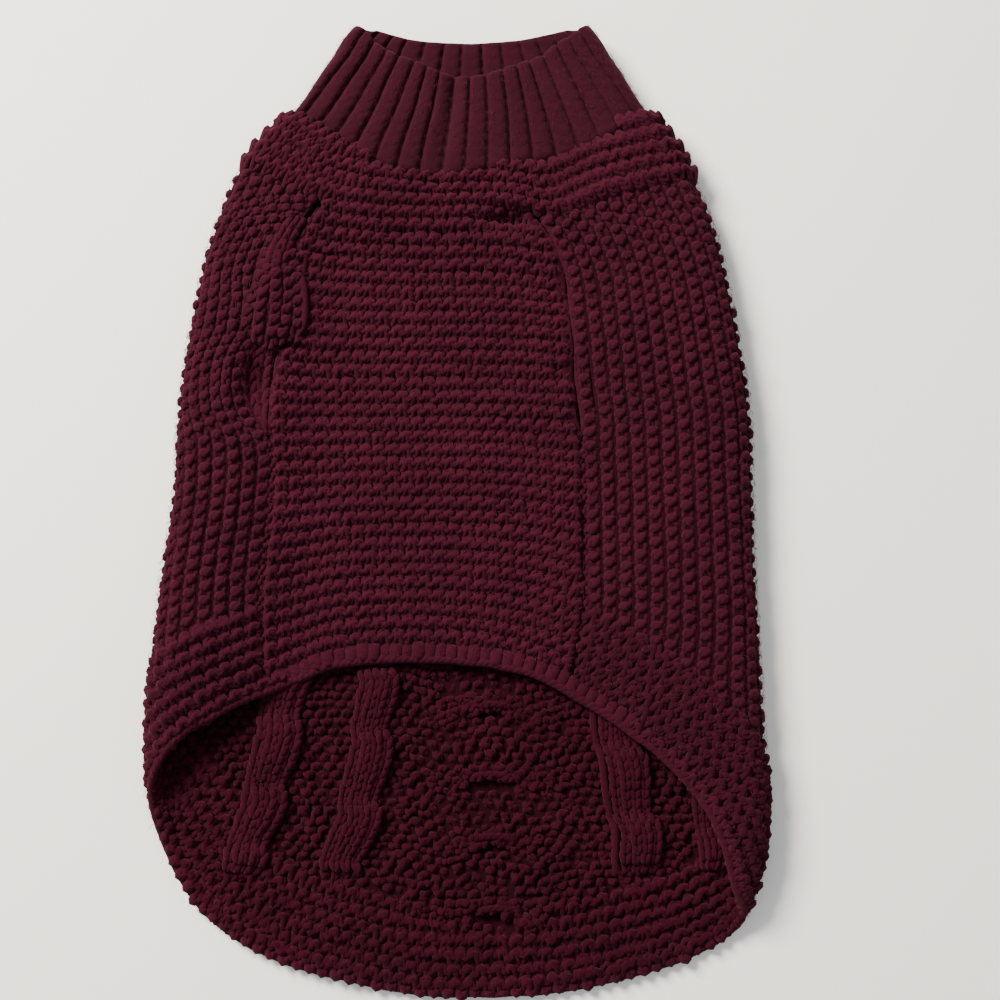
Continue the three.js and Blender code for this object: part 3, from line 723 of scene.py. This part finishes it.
def make_collar_cloth():
    """The collar's ribbed wall: smooth ribs, narrow grooves between them, a soft rim and a base under the yoke"""
    rng = np.random.default_rng(41)
    ribs = rib_edges()
    edge = np.array([start for start, _ in ribs] + [ribs[-1][1]])
    sway = rng.normal(0, 0.0035, len(ribs))
    sway = np.append(sway, sway[0])
    share = np.tile(np.arange(RIB_LINES) / RIB_LINES, len(ribs))[:, None]
    rib = np.repeat(np.arange(len(ribs)), RIB_LINES)[:, None]
    groove = np.abs(2 * share - 1) ** 4.5
    deep = rng.uniform(0.8, 1.2, len(ribs) + 1)
    deep[-1] = deep[0]
    straight = lerp(edge[rib], edge[rib + 1], share)
    top, base = rim_y(wrap(straight)), collar_base_y(wrap(straight))
    rows = np.linspace(0, 1, 30)[None]
    y = np.concatenate([top - RIM_ROWS["down"][None], lerp(top - 3.2, base, rows), base - 1.2, base - 2.4], axis=1)
    up = smooth((y - base) / (top - base))
    u = straight + up * lerp(sway[rib], sway[rib + 1], share)
    middle = np.zeros((1, 30))
    outer = np.concatenate([RIM_ROWS["outer"][None], middle, [[-1.0, -2.2]]], axis=1)
    inner = np.concatenate([RIM_ROWS["inner"][None], middle - 3, [[-2.9, -2.9]]], axis=1)
    depth = groove * np.where(share < 0.5, deep[rib], deep[rib + 1]) * (1 + 0.15 * np.sin(y * 1.3 + 7 * rib))
    crown = 0.3 * (1 - np.abs(2 * share - 1) ** 2)
    under = turned_under(u)
    outer = outer + (crown - 1.55 * depth) * (1 - under) - tucked(u, y)
    inner = inner + lerp(0.35, 1.8, under) * depth - 0.35 * tucked(u, y)
    uv = np.stack(np.broadcast_arrays(0.25 + 0.5 * np.abs(share - 0.5), y / 10), axis=-1)
    return cloth_shell("collar_cloth", u, y, True, outer, np.minimum(inner, outer - 0.4), uv)


def from_hem(line, back):
    """Places at distances back from the hem, square to it"""
    down_u, down_y = square_down(hem_y, line[:, 0])
    scale = GIRTH_PER_SHARE / girth(line[:, 1])
    return line_of(line[:, :1] - (down_u * scale)[:, None] * back, line[:, 1:] - down_y[:, None] * back)


BARS_TO = 0.26


def make_hem_knit():
    """The bound-off edge: soft bars of yarn along the belly, a ridge elsewhere, and a rolled edge all round"""
    yarn, rng = Yarn(), np.random.default_rng(51)
    u = np.linspace(-BARS_TO, BARS_TO, 400)
    top_line = spaced(line_of(u, hem_y(u)), 3.8)
    count = len(top_line)
    back = np.array([7.1, 5.8, 4.4, 3.0, 1.6])[None] * (1 + rng.normal(0, 0.04, (count, 1)))
    height = np.array([-1.7, -1.1, -0.95, -1.0, -1.3])[None] + rng.normal(0, 0.16, (count, 1))
    lay(yarn, from_hem(top_line, back), height, 2.35 * (1 + rng.normal(0, 0.06, (count, 1))), corners=8, flat=0.5)
    u = np.linspace(BARS_TO, 2 - BARS_TO, 1400)
    ridge = from_hem(spaced(line_of(u, hem_y(wrap(u))), STITCH), np.array([[4.3]]))[:, 0]
    garter_ridge(yarn, rng, ridge, 4.8, plain_below, uneven=1.7)
    u = np.linspace(-1, 1, 1600)
    fine = spaced(line_of(u, hem_y(u)), 1.0)
    roll = np.arange(len(fine)) / 4 * 2 * math.pi
    uneven = wobble(rng, np.arange(len(fine)) / 7, 0.12)
    edge = from_hem(fine, np.full((len(fine), 1), 1.7) + 0.15 * np.cos(roll)[:, None] + uneven[:, None])[:, 0]
    thick = lerp(1.6, 1.38, smooth((np.abs(fine[:, 0]) - BARS_TO) / 0.06)) + 0.17 * np.cos(roll)
    lay(yarn, edge[None], np.full((1, len(fine)), -1.5), thick[None], corners=12, flat=0.97)
    return yarn.make("hem_bound_off_stitches")


def make_leg_band_knit(name, seam, flank_columns, number):
    """A smooth edge on both sides of a leg slit. On the left one's flank side it is a wide strip of long stitches,
    which lies deep below the lobe."""
    yarn, rng = Yarn(), np.random.default_rng(number)
    y = np.linspace(20.0, 99.0, 60)
    for column in range(flank_columns):
        whole = line_of(lerp(seam["slit_flank"](y), seam["flank"](y), (column + 0.5) / flank_columns), y)
        line = spaced(whole, 4.4)
        width = (seam["flank"](y) - seam["slit_flank"](y)) * seam["side"] * girth(y) / flank_columns + 0.7
        width = np.interp(line[:-1, 1], y, width)[:, None]
        raised = np.interp(line[:-1, 1], [52, 84], [-1.7, -0.75])[:, None]
        leg_column(yarn, rng, line, width, width * 0.36, raised, depth=0.4)
    edge_yarn = 1.25 if flank_columns else 1.45
    for edge, way in (("slit_flank", 1), ("slit_belly", -1)):
        line = spaced(line_of(seam[edge](y) + way * seam["side"] * 0.8 / GIRTH_PER_SHARE, y), 1.2)
        uneven = 1 + wobble(rng, np.arange(len(line)) / 3.5, 0.1)
        low = np.interp(line[:, 1], [50, 60], [-2.1, -1.6]) + 0.25 * np.cos(np.arange(len(line)) * 1.7)
        low = low + dimpled(line) - SUNK
        lay(yarn, line[None], low[None], (edge_yarn * uneven)[None], corners=7, flat=0.85)
    return yarn.make(name)


# The rounded lobe of the left leg opening's edge, which laps over the belly
LOBE = table(
    "y left right", (88, -0.372, -0.318), (82, -0.376, -0.305), (76, -0.38, -0.293), (68, -0.385, -0.283),
    (60, -0.388, -0.28), (52, -0.386, -0.288),
)
LOBE_TOP = 88
LOBE_END = 50.5
LOBE_RISE = 2.5
lobe_left = column_curve(LOBE, "y", "left")
lobe_right = column_curve(LOBE, "y", "right")


def lobe_place(across, down):
    y = lerp(LOBE_TOP, LOBE_END + 7 * np.abs(2 * across - 1.1) ** 3, down)
    return lerp(lobe_left(y), lobe_right(y), across), y


def lobe_height(place):
    u, y = wrap(place[..., 0]), place[..., 1]
    across = (u - lobe_left(y)) / (lobe_right(y) - lobe_left(y))
    return LOBE_RISE * smooth((LOBE_TOP - y) / 22) * smooth(0.15 + across / 0.5)


def make_lobe_cloth():
    across, down = np.meshgrid(np.linspace(0.05, 0.95, 16), np.linspace(0, 0.95, 30), indexing="ij")
    u, y = lobe_place(across, down)
    rise = lobe_height(line_of(u, y))
    return cloth_shell("left_lobe_cloth", u, y, False, rise - 1.5, rise - 2.7)


def make_lobe_knit():
    """Columns of beads as on the flank, and a smooth edge down the right side"""
    yarn, rng = Yarn(), np.random.default_rng(85)
    columns = 5
    for column in range(columns):
        down = np.linspace(0, 0.985 - 0.03 * (column % 2), 40)
        sway = 0.025 * np.sin(down * 5 + column * 2.1)
        u, y = lobe_place((column + 0.4) / columns + sway, down)
        line = spaced(line_of(u, y), 4.3)
        bead_column(yarn, rng, line, np.full(len(line), 4.9), 0.5 * (column % 2), lobe_height)
    line = spaced(line_of(*lobe_place(0.975, np.linspace(0, 0.93, 40))), 1.2)
    ends = np.sin(np.linspace(0.05, 0.95, len(line)) * math.pi) ** 0.5
    uneven = 1 + wobble(rng, np.arange(len(line)) / 3, 0.08)
    lay(yarn, line[None], (lobe_height(line) - 1.1)[None], (1.55 * ends * uneven)[None], corners=9, flat=0.75)
    return yarn.make("left_lobe_stitches")


# The inside of the back, which shows through the hem mouth

INNER_TOP = -34
INNER_ROW = 3.05
SLOTS = table("x y wide", (11.5, -81.3, 7), (12, -105.7, 7.5), (12.5, -127, 8), (13, -151.4, 7))
EYELETS = table(
    "x y", (-8.5, -139), (-12.5, -103), (29, -138), (31.5, -130.5), (25.5, -145), (-50.5, -111), (-57.5, -128),
)


SLOT_PITCH = 23


def opened(place):
    """Rows bend round the slots of the pattern in the middle and part there and at the eyelets"""
    u, y = place[..., 0], place[..., 1]
    x = cloth_x(u, y)
    from_middle = x - 12
    bend = 3.2 * np.cos((y + 82) / SLOT_PITCH * 2 * math.pi) * np.exp(-(from_middle / 15) ** 2)
    shift = bend - 3.0 * smooth(np.abs(from_middle) / 14) * smooth((30 - np.abs(from_middle)) / 14)
    for at_x, at_y, wide in zip(*SLOTS.values()):
        shift += 3.7 * np.tanh((y - at_y) / 0.7) * np.exp(-((x - at_x) / wide / 1.1) ** 4 - np.abs(y - at_y) / 6)
    for at_x, at_y in zip(*EYELETS.values()):
        shift += 1.9 * np.tanh((y - at_y) / 0.7) * np.exp(-((x - at_x) / 2.8) ** 2 - np.abs(y - at_y) / 4)
    return np.stack([u, y + shift], axis=-1)


def slot_depth(u, y):
    """How thin the cloth is at the slots and eyelets of the back's pattern"""
    x = cloth_x(u, y)
    depth = 0
    for at_x, at_y, wide in zip(*SLOTS.values()):
        depth = depth + np.exp(-((x - at_x) / wide) ** 4 - ((y - at_y - 2.6) / 2.6) ** 2)
    for at_x, at_y in zip(*EYELETS.values()):
        depth = depth + np.exp(-((x - at_x) / 3) ** 2 - ((y - at_y) / 2.4) ** 2)
    return 1.9 * np.minimum(depth, 1) * (np.abs(u) > 0.6)


def lumpy(place):
    """The rows lie low at the slots and eyelets, and the pattern's middle stands in uneven lumps"""
    x, y = cloth_x(place[..., 0], place[..., 1]), place[..., 1]
    lumps = np.sin(x / 2.9 + 1.3 * np.sin(y / 5.1)) * np.cos(y / 3.7 + 0.9 * np.sin(x / 6.3))
    return -0.75 + 0.55 * lumps * np.exp(-((x - 12) / 34) ** 4)


pattern_end = border_line((BORDER_RIDGES + 0.3) * RIDGE, 0.44, 1.56)
PATTERN_DIP = 11
PATTERN_WIDTH = 24


def pattern_end_y(u):
    """Where the pattern on the inside of the back ends: above the border, and lower in its middle"""
    y = np.interp(u, pattern_end[:, 0], pattern_end[:, 1])
    return y - PATTERN_DIP * np.exp(-((cloth_x(u, y) - 12) / PATTERN_WIDTH) ** 4)


def make_inner_knit():
    """The wrong side of the back, with a smooth loop of yarn above each slot"""
    yarn, rng = Yarn(), np.random.default_rng(71)
    u = np.linspace(0.47, 1.53, 300)
    for row in range(40):
        y = INNER_TOP - row * INNER_ROW
        kept = u[pattern_end_y(u) < y]
        if len(kept) > 20:
            line = spaced(line_of(kept, y), 4.7)
            line = opened(line)
            knit_line(yarn, rng, line, purl, 1.8, 1.05, 0, lumpy, thick=1.26, inside=True, uneven=3.4)
    for at_x, at_y, wide in zip(*SLOTS.values()):
        x = np.linspace(-1, 1, 13)
        loop = line_of(1 - (at_x + x * wide - skin(1.0, at_y)[0]) / girth(at_y), at_y + 6.4 - 1.2 * x ** 2)
        lay(yarn, loop[None], (0.5 - 1.5 * x ** 4)[None], 1.3, inside=True, corners=7)
    return yarn.make("back_wrong_side_stitches")


def make_inner_border_knit():
    """The border's wrong side. Its upper ridges stop short of the pattern's middle."""
    yarn, rng = Yarn(), np.random.default_rng(73)
    for ridge in range(-1, BORDER_RIDGES):
        line = border_line((ridge + 0.45) * RIDGE, 0.49, 1.51)
        kept = line[:, 1] < pattern_end_y(line[:, 0]) + 1.5
        for stretch in np.split(np.arange(len(line)), np.flatnonzero(np.diff(kept)) + 1):
            if kept[stretch[0]] and len(stretch) > 8:
                garter_ridge(yarn, rng, spaced(line[stretch], STITCH), raised=-0.5, inside=True, uneven=2.2)
    return yarn.make("back_border_stitches")


def cable_place(at, y):
    """A share and y on the inside of the back, at a share of its half width from the middle"""
    spread = SPREAD * np.clip((SPREAD_FROM - y) / SPREAD_LENGTH, 0, 1.2) ** 1.7
    x = at + spread * (at - CABLE_CENTRE) * (1 - at ** 2)
    return line_of(1 - x * (1 - UNDER_SHARE), y)


CABLE_WALES = 4
CABLE_TURN = 22.5
CABLE_STITCH = 3.3
EDGED_CABLE = 2


def make_cable_knit():
    """Columns of knit stitches for each cable strip, which swells between its crossings and slides sideways there.
    One strip has a smooth strand of yarn along its left edge."""
    yarn, rng = Yarn(), np.random.default_rng(79)
    for number, (middle, half) in enumerate(zip(*CABLES.values())):
        y = np.linspace(CABLE_END - 3, -44, 140)
        phase = (y + 58 + 5 * number) / CABLE_TURN + 0.05 * np.sin(y / 9 + number)
        turn = phase % 1
        bulge = smooth((1 - turn) / 0.14) * lerp(0.3, 1, smooth(turn / 0.55))
        slide = 0.02 * (smooth(turn / 0.84) - smooth((turn - 0.84) / 0.16) - 0.5)
        ending = smooth((y - CABLE_END) / 9)
        narrow = lerp(0.84, 1.0, bulge) * lerp(0.7, 1, ending)
        width = half * 97 * 2 / CABLE_WALES
        for wale in range(CABLE_WALES):
            share = (wale + 0.5) / CABLE_WALES * 2 - 1
            whole = cable_place(middle + slide + half * share * narrow, y)
            lift = lerp(-1.6, 0.1 + (0.9 + 2.5 * bulge) * (1 - 0.5 * share ** 2), ending)
            line = spaced(whole, CABLE_STITCH)
            height = np.interp(line[:-1, 1], y, lift)[:, None] + rng.normal(0, 0.1, (len(line) - 1, 1))
            broad = width * np.interp(line[:-1, 1], y, narrow)[:, None]
            leg_column(yarn, rng, line, broad, broad * 0.36, height, True, 0.4, steps=6, corners=6)
        if number == EDGED_CABLE:
            whole = spaced(cable_place(middle + slide - 1.28 * half * narrow, y), 1.5)
            height = np.interp(whole[:, 1], y, lerp(-1.6, 0.3 + 1.2 * bulge, ending))
            lay(yarn, whole[None], height[None], 1.35, inside=True, corners=8)
    return yarn.make("back_cable_stitches")


# The nap: fine loose fibres that stand off the yarn

FIBRES = 9500


def make_fibres():
    yarn, rng = Yarn(), np.random.default_rng(97)
    near_fold = rng.uniform(0.44, 0.54, FIBRES) * rng.choice([-1, 1], FIBRES)
    u = np.where(rng.uniform(0, 1, FIBRES) < 0.4, near_fold, rng.uniform(-0.44, 0.44, FIBRES))
    y = lerp(hem_y(u) + 2.5, rim_y(u) - 1, rng.uniform(0, 1, FIBRES))
    length = rng.uniform(1.2, 3.6, FIBRES)
    turn = rng.uniform(0, 2 * math.pi, FIBRES)
    curl = turn + rng.normal(0, 0.9, FIBRES)
    reach = np.stack([np.zeros(FIBRES), np.cos(turn), np.cos(turn) + np.cos(curl)], axis=1) * length[:, None] / 2.4
    along = np.stack([np.zeros(FIBRES), np.sin(turn), np.sin(turn) + np.sin(curl)], axis=1) * length[:, None] / 2.4
    rise = np.array([0, 0.8, 1.0]) * rng.uniform(0.3, 1.2, FIBRES)[:, None]
    place_u = u[:, None] + reach / GIRTH_PER_SHARE
    place_y = y[:, None] + along
    sunk = tucked(u, y) * (y > collar_base_y(u))
    centres = on_cloth(place_u, place_y, rise - sunk[:, None])
    yarn.add(centres, np.array([0.1, 0.2, 1.0]), 0.055, 0.055, 3)
    return yarn.make("loose_fibres")


# The finishes

class Value:
    """A number that varies over a surface, so that a finish reads as a sum"""

    def __init__(self, finish, socket):
        self.finish = finish
        self.socket = socket

    def math(self, operation, *values):
        node = self.finish.node("ShaderNodeMath", {"operation": operation}, *values)
        return Value(self.finish, node.outputs[0])

    def __add__(self, other):
        return self.math("ADD", self, other)

    __radd__ = __add__

    def __mul__(self, other):
        return self.math("MULTIPLY", self, other)

    __rmul__ = __mul__

    def __sub__(self, other):
        return self.math("SUBTRACT", self, other)

    def __rsub__(self, other):
        return self.math("SUBTRACT", other, self)

    def sine(self):
        return self.math("SINE", self)

    def size(self):
        return self.math("ABSOLUTE", self)


class Finish:
    """A material's nodes"""

    def __init__(self, name):
        self.material = bpy.data.materials.new(name)
        self.material.use_nodes = True
        self.tree = self.material.node_tree
        self.shader = self.tree.nodes["Principled BSDF"]

    def node(self, kind, settings=None, *values, **named):
        """A node of a kind, with its settings, and then the values or links of its sockets"""
        node = self.tree.nodes.new(kind)
        for key, value in (settings or {}).items():
            setattr(node, key, value)
        for key, value in list(enumerate(values)) + list(named.items()):
            self.put(node.inputs[key if isinstance(key, int) else key.replace("_", " ")], value)
        return node

    def put(self, socket, value):
        if isinstance(value, Value):
            value = value.socket
        if isinstance(value, bpy.types.NodeSocket):
            self.tree.links.new(value, socket)
        else:
            socket.default_value = value

    def places(self):
        return self.node("ShaderNodeTexCoord").outputs["Object"]

    def noise(self, scale, detail=3.0, rough=0.6):
        node = self.node("ShaderNodeTexNoise", {}, Vector=self.places(), Scale=scale, Detail=detail, Roughness=rough)
        return Value(self, node.outputs["Fac"])


def wool(name, dark, light, relief=None):
    """Soft woollen yarn in two near shades. Its relief is that of plied yarn, of a smooth rib, or plain."""
    finish = Finish(name)
    patches = finish.noise(45, 2.0)
    fibres = finish.noise(1300, 4.0, 0.7)
    shade = patches * 0.45 + fibres * 0.55
    ramp = finish.node("ShaderNodeMapRange", {}, Value=shade.socket, From_Min=0.35, From_Max=0.65)
    mix = finish.node("ShaderNodeMix", {"data_type": "RGBA"}, ramp.outputs["Result"])
    finish.put(mix.inputs[6], (*dark, 1))
    finish.put(mix.inputs[7], (*light, 1))
    finish.put(finish.shader.inputs["Base Color"], mix.outputs[2])
    height = fibres
    if relief:
        around = finish.node("ShaderNodeUVMap", {"uv_map": "yarn"})
        parts = finish.node("ShaderNodeSeparateXYZ", {}, around.outputs["UV"])
        turn, along = Value(finish, parts.outputs["X"]), Value(finish, parts.outputs["Y"])
        if relief == "plied":
            strands = (turn * 3 - along * 4.5) * math.pi
            height = strands.sine().size() * 0.7 + fibres * 0.8
        else:
            legs = (along * 2.4 - (turn - 0.25).size() * 2.2) * math.pi
            height = legs.sine().size() * 0.5 + fibres * 0.9
    bump = finish.node("ShaderNodeBump", {}, Strength=0.6, Distance=0.0004, Height=height)
    finish.put(finish.shader.inputs["Normal"], bump.outputs["Normal"])
    values = {"Roughness": 0.95, "Specular IOR Level": 0.04, "Sheen Weight": 0.07, "Sheen Roughness": 0.6,
              "Sheen Tint": (0.62, 0.18, 0.26, 1)}
    for key, value in values.items():
        finish.shader.inputs[key].default_value = value
    return finish.material


garter_wool = wool("garter_wool", (0.0221, 0.0021, 0.0059), (0.0333, 0.0033, 0.0090), "plied")
body_wool = wool("body_wool", (0.0198, 0.0018, 0.0056), (0.0308, 0.0031, 0.0086), "plied")
# Painted shade: the right flank's border gets a darker copy of the body wool, for the light falling off towards the
# bottom right
shaded_border_wool = wool("shaded_border_wool", (0.0158, 0.0013, 0.0043), (0.0246, 0.0023, 0.0066), "plied")
rib_wool = wool("rib_wool", (0.0163, 0.0019, 0.0046), (0.0237, 0.0029, 0.0068), "rib")
# Painted shade: the cable strips and the wrong side of the back, seen inside the hem mouth, get darker copies of the
# body wool
shaded_cable_wool = wool("shaded_cable_wool", (0.0165, 0.0010, 0.0038), (0.0260, 0.0018, 0.0060), "plied")
shaded_inner_wool = wool("shaded_inner_wool", (0.0142, 0.0008, 0.0032), (0.0238, 0.0015, 0.0053), "plied")
band_wool = wool("band_wool", (0.0207, 0.0019, 0.0057), (0.0313, 0.0030, 0.0085), "plied")
# Painted shade: the cloth shells, seen only in the crevices between stitches, get a darker copy of the yarn's colour
shaded_core_wool = wool("shaded_core_wool", (0.0133, 0.0009, 0.0033), (0.0199, 0.0016, 0.0051))
# Painted shade: the back's shell, seen in the slots and pits of its pattern, gets a still darker copy of the yarn's
# colour
deep_shade_wool = wool("deep_shade_wool", (0.0080, 0.0005, 0.0018), (0.0125, 0.0009, 0.0028))
fibre_wool = wool("fibre_wool", (0.0420, 0.0060, 0.0120), (0.0640, 0.0100, 0.0190))


def dress(piece, material, slot, *nodes):
    """A piece gets its finish, rides with the sweater and stands for its solids"""
    piece.data.materials.append(material)
    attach(piece, "root")
    if nodes:
        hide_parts(*nodes)
    return piece


def make_back_cloth():
    down = np.linspace(0, 1, 91)[None]

    def flank(seam, across):
        y = np.broadcast_to(lerp(110.0, -80.0, down), (len(across), down.size))
        for _ in range(10):
            u = lerp(seam["flank"](y), seam["side"] * UNDER_SHARE, across[:, None])
            y = lerp(yoke_edge_y(u) - GAP, panel_end_y(u), down)
        return u, y

    right_u, right_y = flank(right_seam, np.linspace(0.004, 1, 40))
    left_u, left_y = flank(left_seam, np.linspace(1, 0.004, 32))
    under_u = np.broadcast_to(wrap(np.linspace(UNDER_SHARE, 2 - UNDER_SHARE, 62)[1:-1])[:, None], (60, 91))
    under_y = lerp(yoke_edge_y(under_u) - GAP, panel_end_y(under_u), down)
    u = np.concatenate([right_u, under_u, left_u])
    y = np.concatenate([right_y, under_y, left_y])
    return cloth_shell("back_cloth", u, y, False, inner=-SHELL_INSIDE + slot_depth(u, y))


def make_belly_cloth():
    across, down = np.meshgrid(np.linspace(0.004, 0.996, 36), np.linspace(0, 1, 100), indexing="ij")
    u, y = belly_place(across, down)
    dip = SUNK - dimpled(line_of(u, y))
    return cloth_shell("belly_cloth", u, y, False, -SHELL_TOP - 1.1 * dip, -SHELL_INSIDE - 1.1 * dip)


def ring_cloth(name, upper, lower, lines, rows):
    u = np.linspace(-1, 1, lines, endpoint=False)[:, None]
    y = lerp(upper(u), lower(u), np.linspace(0, 1, rows)[None])
    return cloth_shell(name, np.broadcast_to(u, y.shape), y, True)


def make_hem_cloth():
    u = np.linspace(-1, 1, 240, endpoint=False)
    down_u, down_y = square_down(panel_end_y, u)
    distance = GAP + np.linspace(0, HEM_BAND_WIDTH - 0.8, 5)[None]
    return cloth_shell("hem_cloth", wrap(u[:, None] + down_u[:, None] * distance),
                       panel_end_y(u)[:, None] + down_y[:, None] * distance, True)


def make_leg_cloth(name, seam):
    top, end = (103.5, 20.5) if seam["side"] < 0 else (99.5, 20.5)
    y = np.linspace(top, end, 50)
    across = np.linspace(0, 1, 4)[None]
    flank_u = lerp(seam["flank"](y)[:, None], seam["slit_flank"](y)[:, None], across)
    belly_u = lerp(seam["belly"](y)[:, None], seam["slit_belly"](y)[:, None], across)[::-1]
    u = np.concatenate([flank_u, belly_u])
    y = np.concatenate([y, y[::-1]])[:, None] + np.zeros((1, 4))
    if seam["side"] > 0:
        return cloth_shell(name, u, y, True)
    return cloth_shell(name, u[::-1], y[::-1], True)


# The cloth shells carry the painted shade of the crevices between stitches, and the back's shell a deeper painted shade
belly_cloth = dress(make_belly_cloth(), shaded_core_wool, "wool_garter", "belly_panel")
back_cloth = dress(make_back_cloth(), deep_shade_wool, "wool_body", "back")
yoke_cloth = dress(ring_cloth("yoke_cloth", lambda u: collar_base_y(u) - COLLAR_GAP, yoke_edge_y, 144, 10),
                   shaded_core_wool, "wool_garter", "yoke")
collar_cloth = dress(make_collar_cloth(), rib_wool, "wool_rib", "collar")
hem_cloth = dress(make_hem_cloth(), shaded_core_wool, "wool_band", "hem_band")
left_leg_cloth = dress(make_leg_cloth("left_leg_cloth", left_seam), shaded_core_wool, "wool_band", "leg_band_left")
right_leg_cloth = dress(make_leg_cloth("right_leg_cloth", right_seam), shaded_core_wool, "wool_band", "leg_band_right")

belly_knit = dress(make_belly_knit(), garter_wool, "wool_garter")
left_flank_knit = dress(make_flank_knit("left_flank_bead_stitches", left_seam, 10, "flank", 21), body_wool, "wool_body")
right_flank_knit = dress(make_flank_knit("right_flank_bead_stitches", right_seam, 14, "slit_flank", 23), body_wool, "wool_body")
left_border_knit = dress(make_border_knit("left_border_stitches", left_seam, 25), body_wool, "wool_body")
# The right border takes the painted shade of the light's falloff
right_border_knit = dress(make_border_knit("right_border_stitches", right_seam, 27), shaded_border_wool, "wool_body")
yoke_knit = dress(make_yoke_knit(), garter_wool, "wool_garter")
hem_knit = dress(make_hem_knit(), band_wool, "wool_band")
left_leg_knit = dress(make_leg_band_knit("left_leg_band_stitches", left_seam, 2, 81), band_wool, "wool_band")
right_leg_knit = dress(make_leg_band_knit("right_leg_band_stitches", right_seam, 0, 83), band_wool, "wool_band")
# The inside of the back takes darker wool: painted shade inside the hem mouth
inner_knit = dress(make_inner_knit(), shaded_inner_wool, "wool_body")
inner_border_knit = dress(make_inner_border_knit(), shaded_inner_wool, "wool_body")
cable_knit = dress(make_cable_knit(), shaded_cable_wool, "wool_body")
lobe_cloth = dress(make_lobe_cloth(), shaded_core_wool, "wool_body")
lobe_knit = dress(make_lobe_knit(), body_wool, "wool_body")
fibres = dress(make_fibres(), fibre_wool, "wool_body")


# The floor, the light and the camera

def make_floor():
    bpy.ops.mesh.primitive_grid_add(x_subdivisions=4, y_subdivisions=4, size=4, location=(0, 0, -0.0002))
    floor = bpy.context.object
    floor.name = "floor"
    finish = Finish("pale_floor")
    finish.shader.inputs["Base Color"].default_value = (0.865, 0.825, 0.745, 1)
    finish.shader.inputs["Roughness"].default_value = 0.75
    floor.data.materials.append(finish.material)
    floor.select_set(False)


def add_area_light(name, place, size, power, colour):
    light = bpy.data.lights.new(name, "AREA")
    light.shape = "DISK"
    light.size = size
    light.energy = power
    light.color = colour
    holder = bpy.data.objects.new(name, light)
    holder.location = place
    way = -np.array(place)
    holder.rotation_euler = (0, math.atan2(math.hypot(way[0], way[1]), -way[2]), math.atan2(way[1], way[0]) + math.pi)
    bpy.context.scene.collection.objects.link(holder)


def make_camera():
    camera = bpy.data.cameras.new("camera")
    camera.sensor_fit = "AUTO"
    camera.angle = math.radians(35)
    holder = bpy.data.objects.new("camera", camera)
    holder.location = (0.01515, -0.0816, 0.5653)
    holder.rotation_euler = (math.radians(8), 0, 0)
    bpy.context.scene.collection.objects.link(holder)
    bpy.context.scene.camera = holder


def make_sky():
    world = bpy.data.worlds.new("room")
    world.use_nodes = True
    sky = world.node_tree.nodes["Background"]
    sky.inputs["Color"].default_value = (0.86, 0.92, 1.0, 1)
    sky.inputs["Strength"].default_value = 0.84
    bpy.context.scene.world = world


make_floor()
make_sky()
add_area_light("window_light", (-0.76, 0.68, 0.88), 0.6, 64, (1.0, 0.965, 0.915))
make_camera()
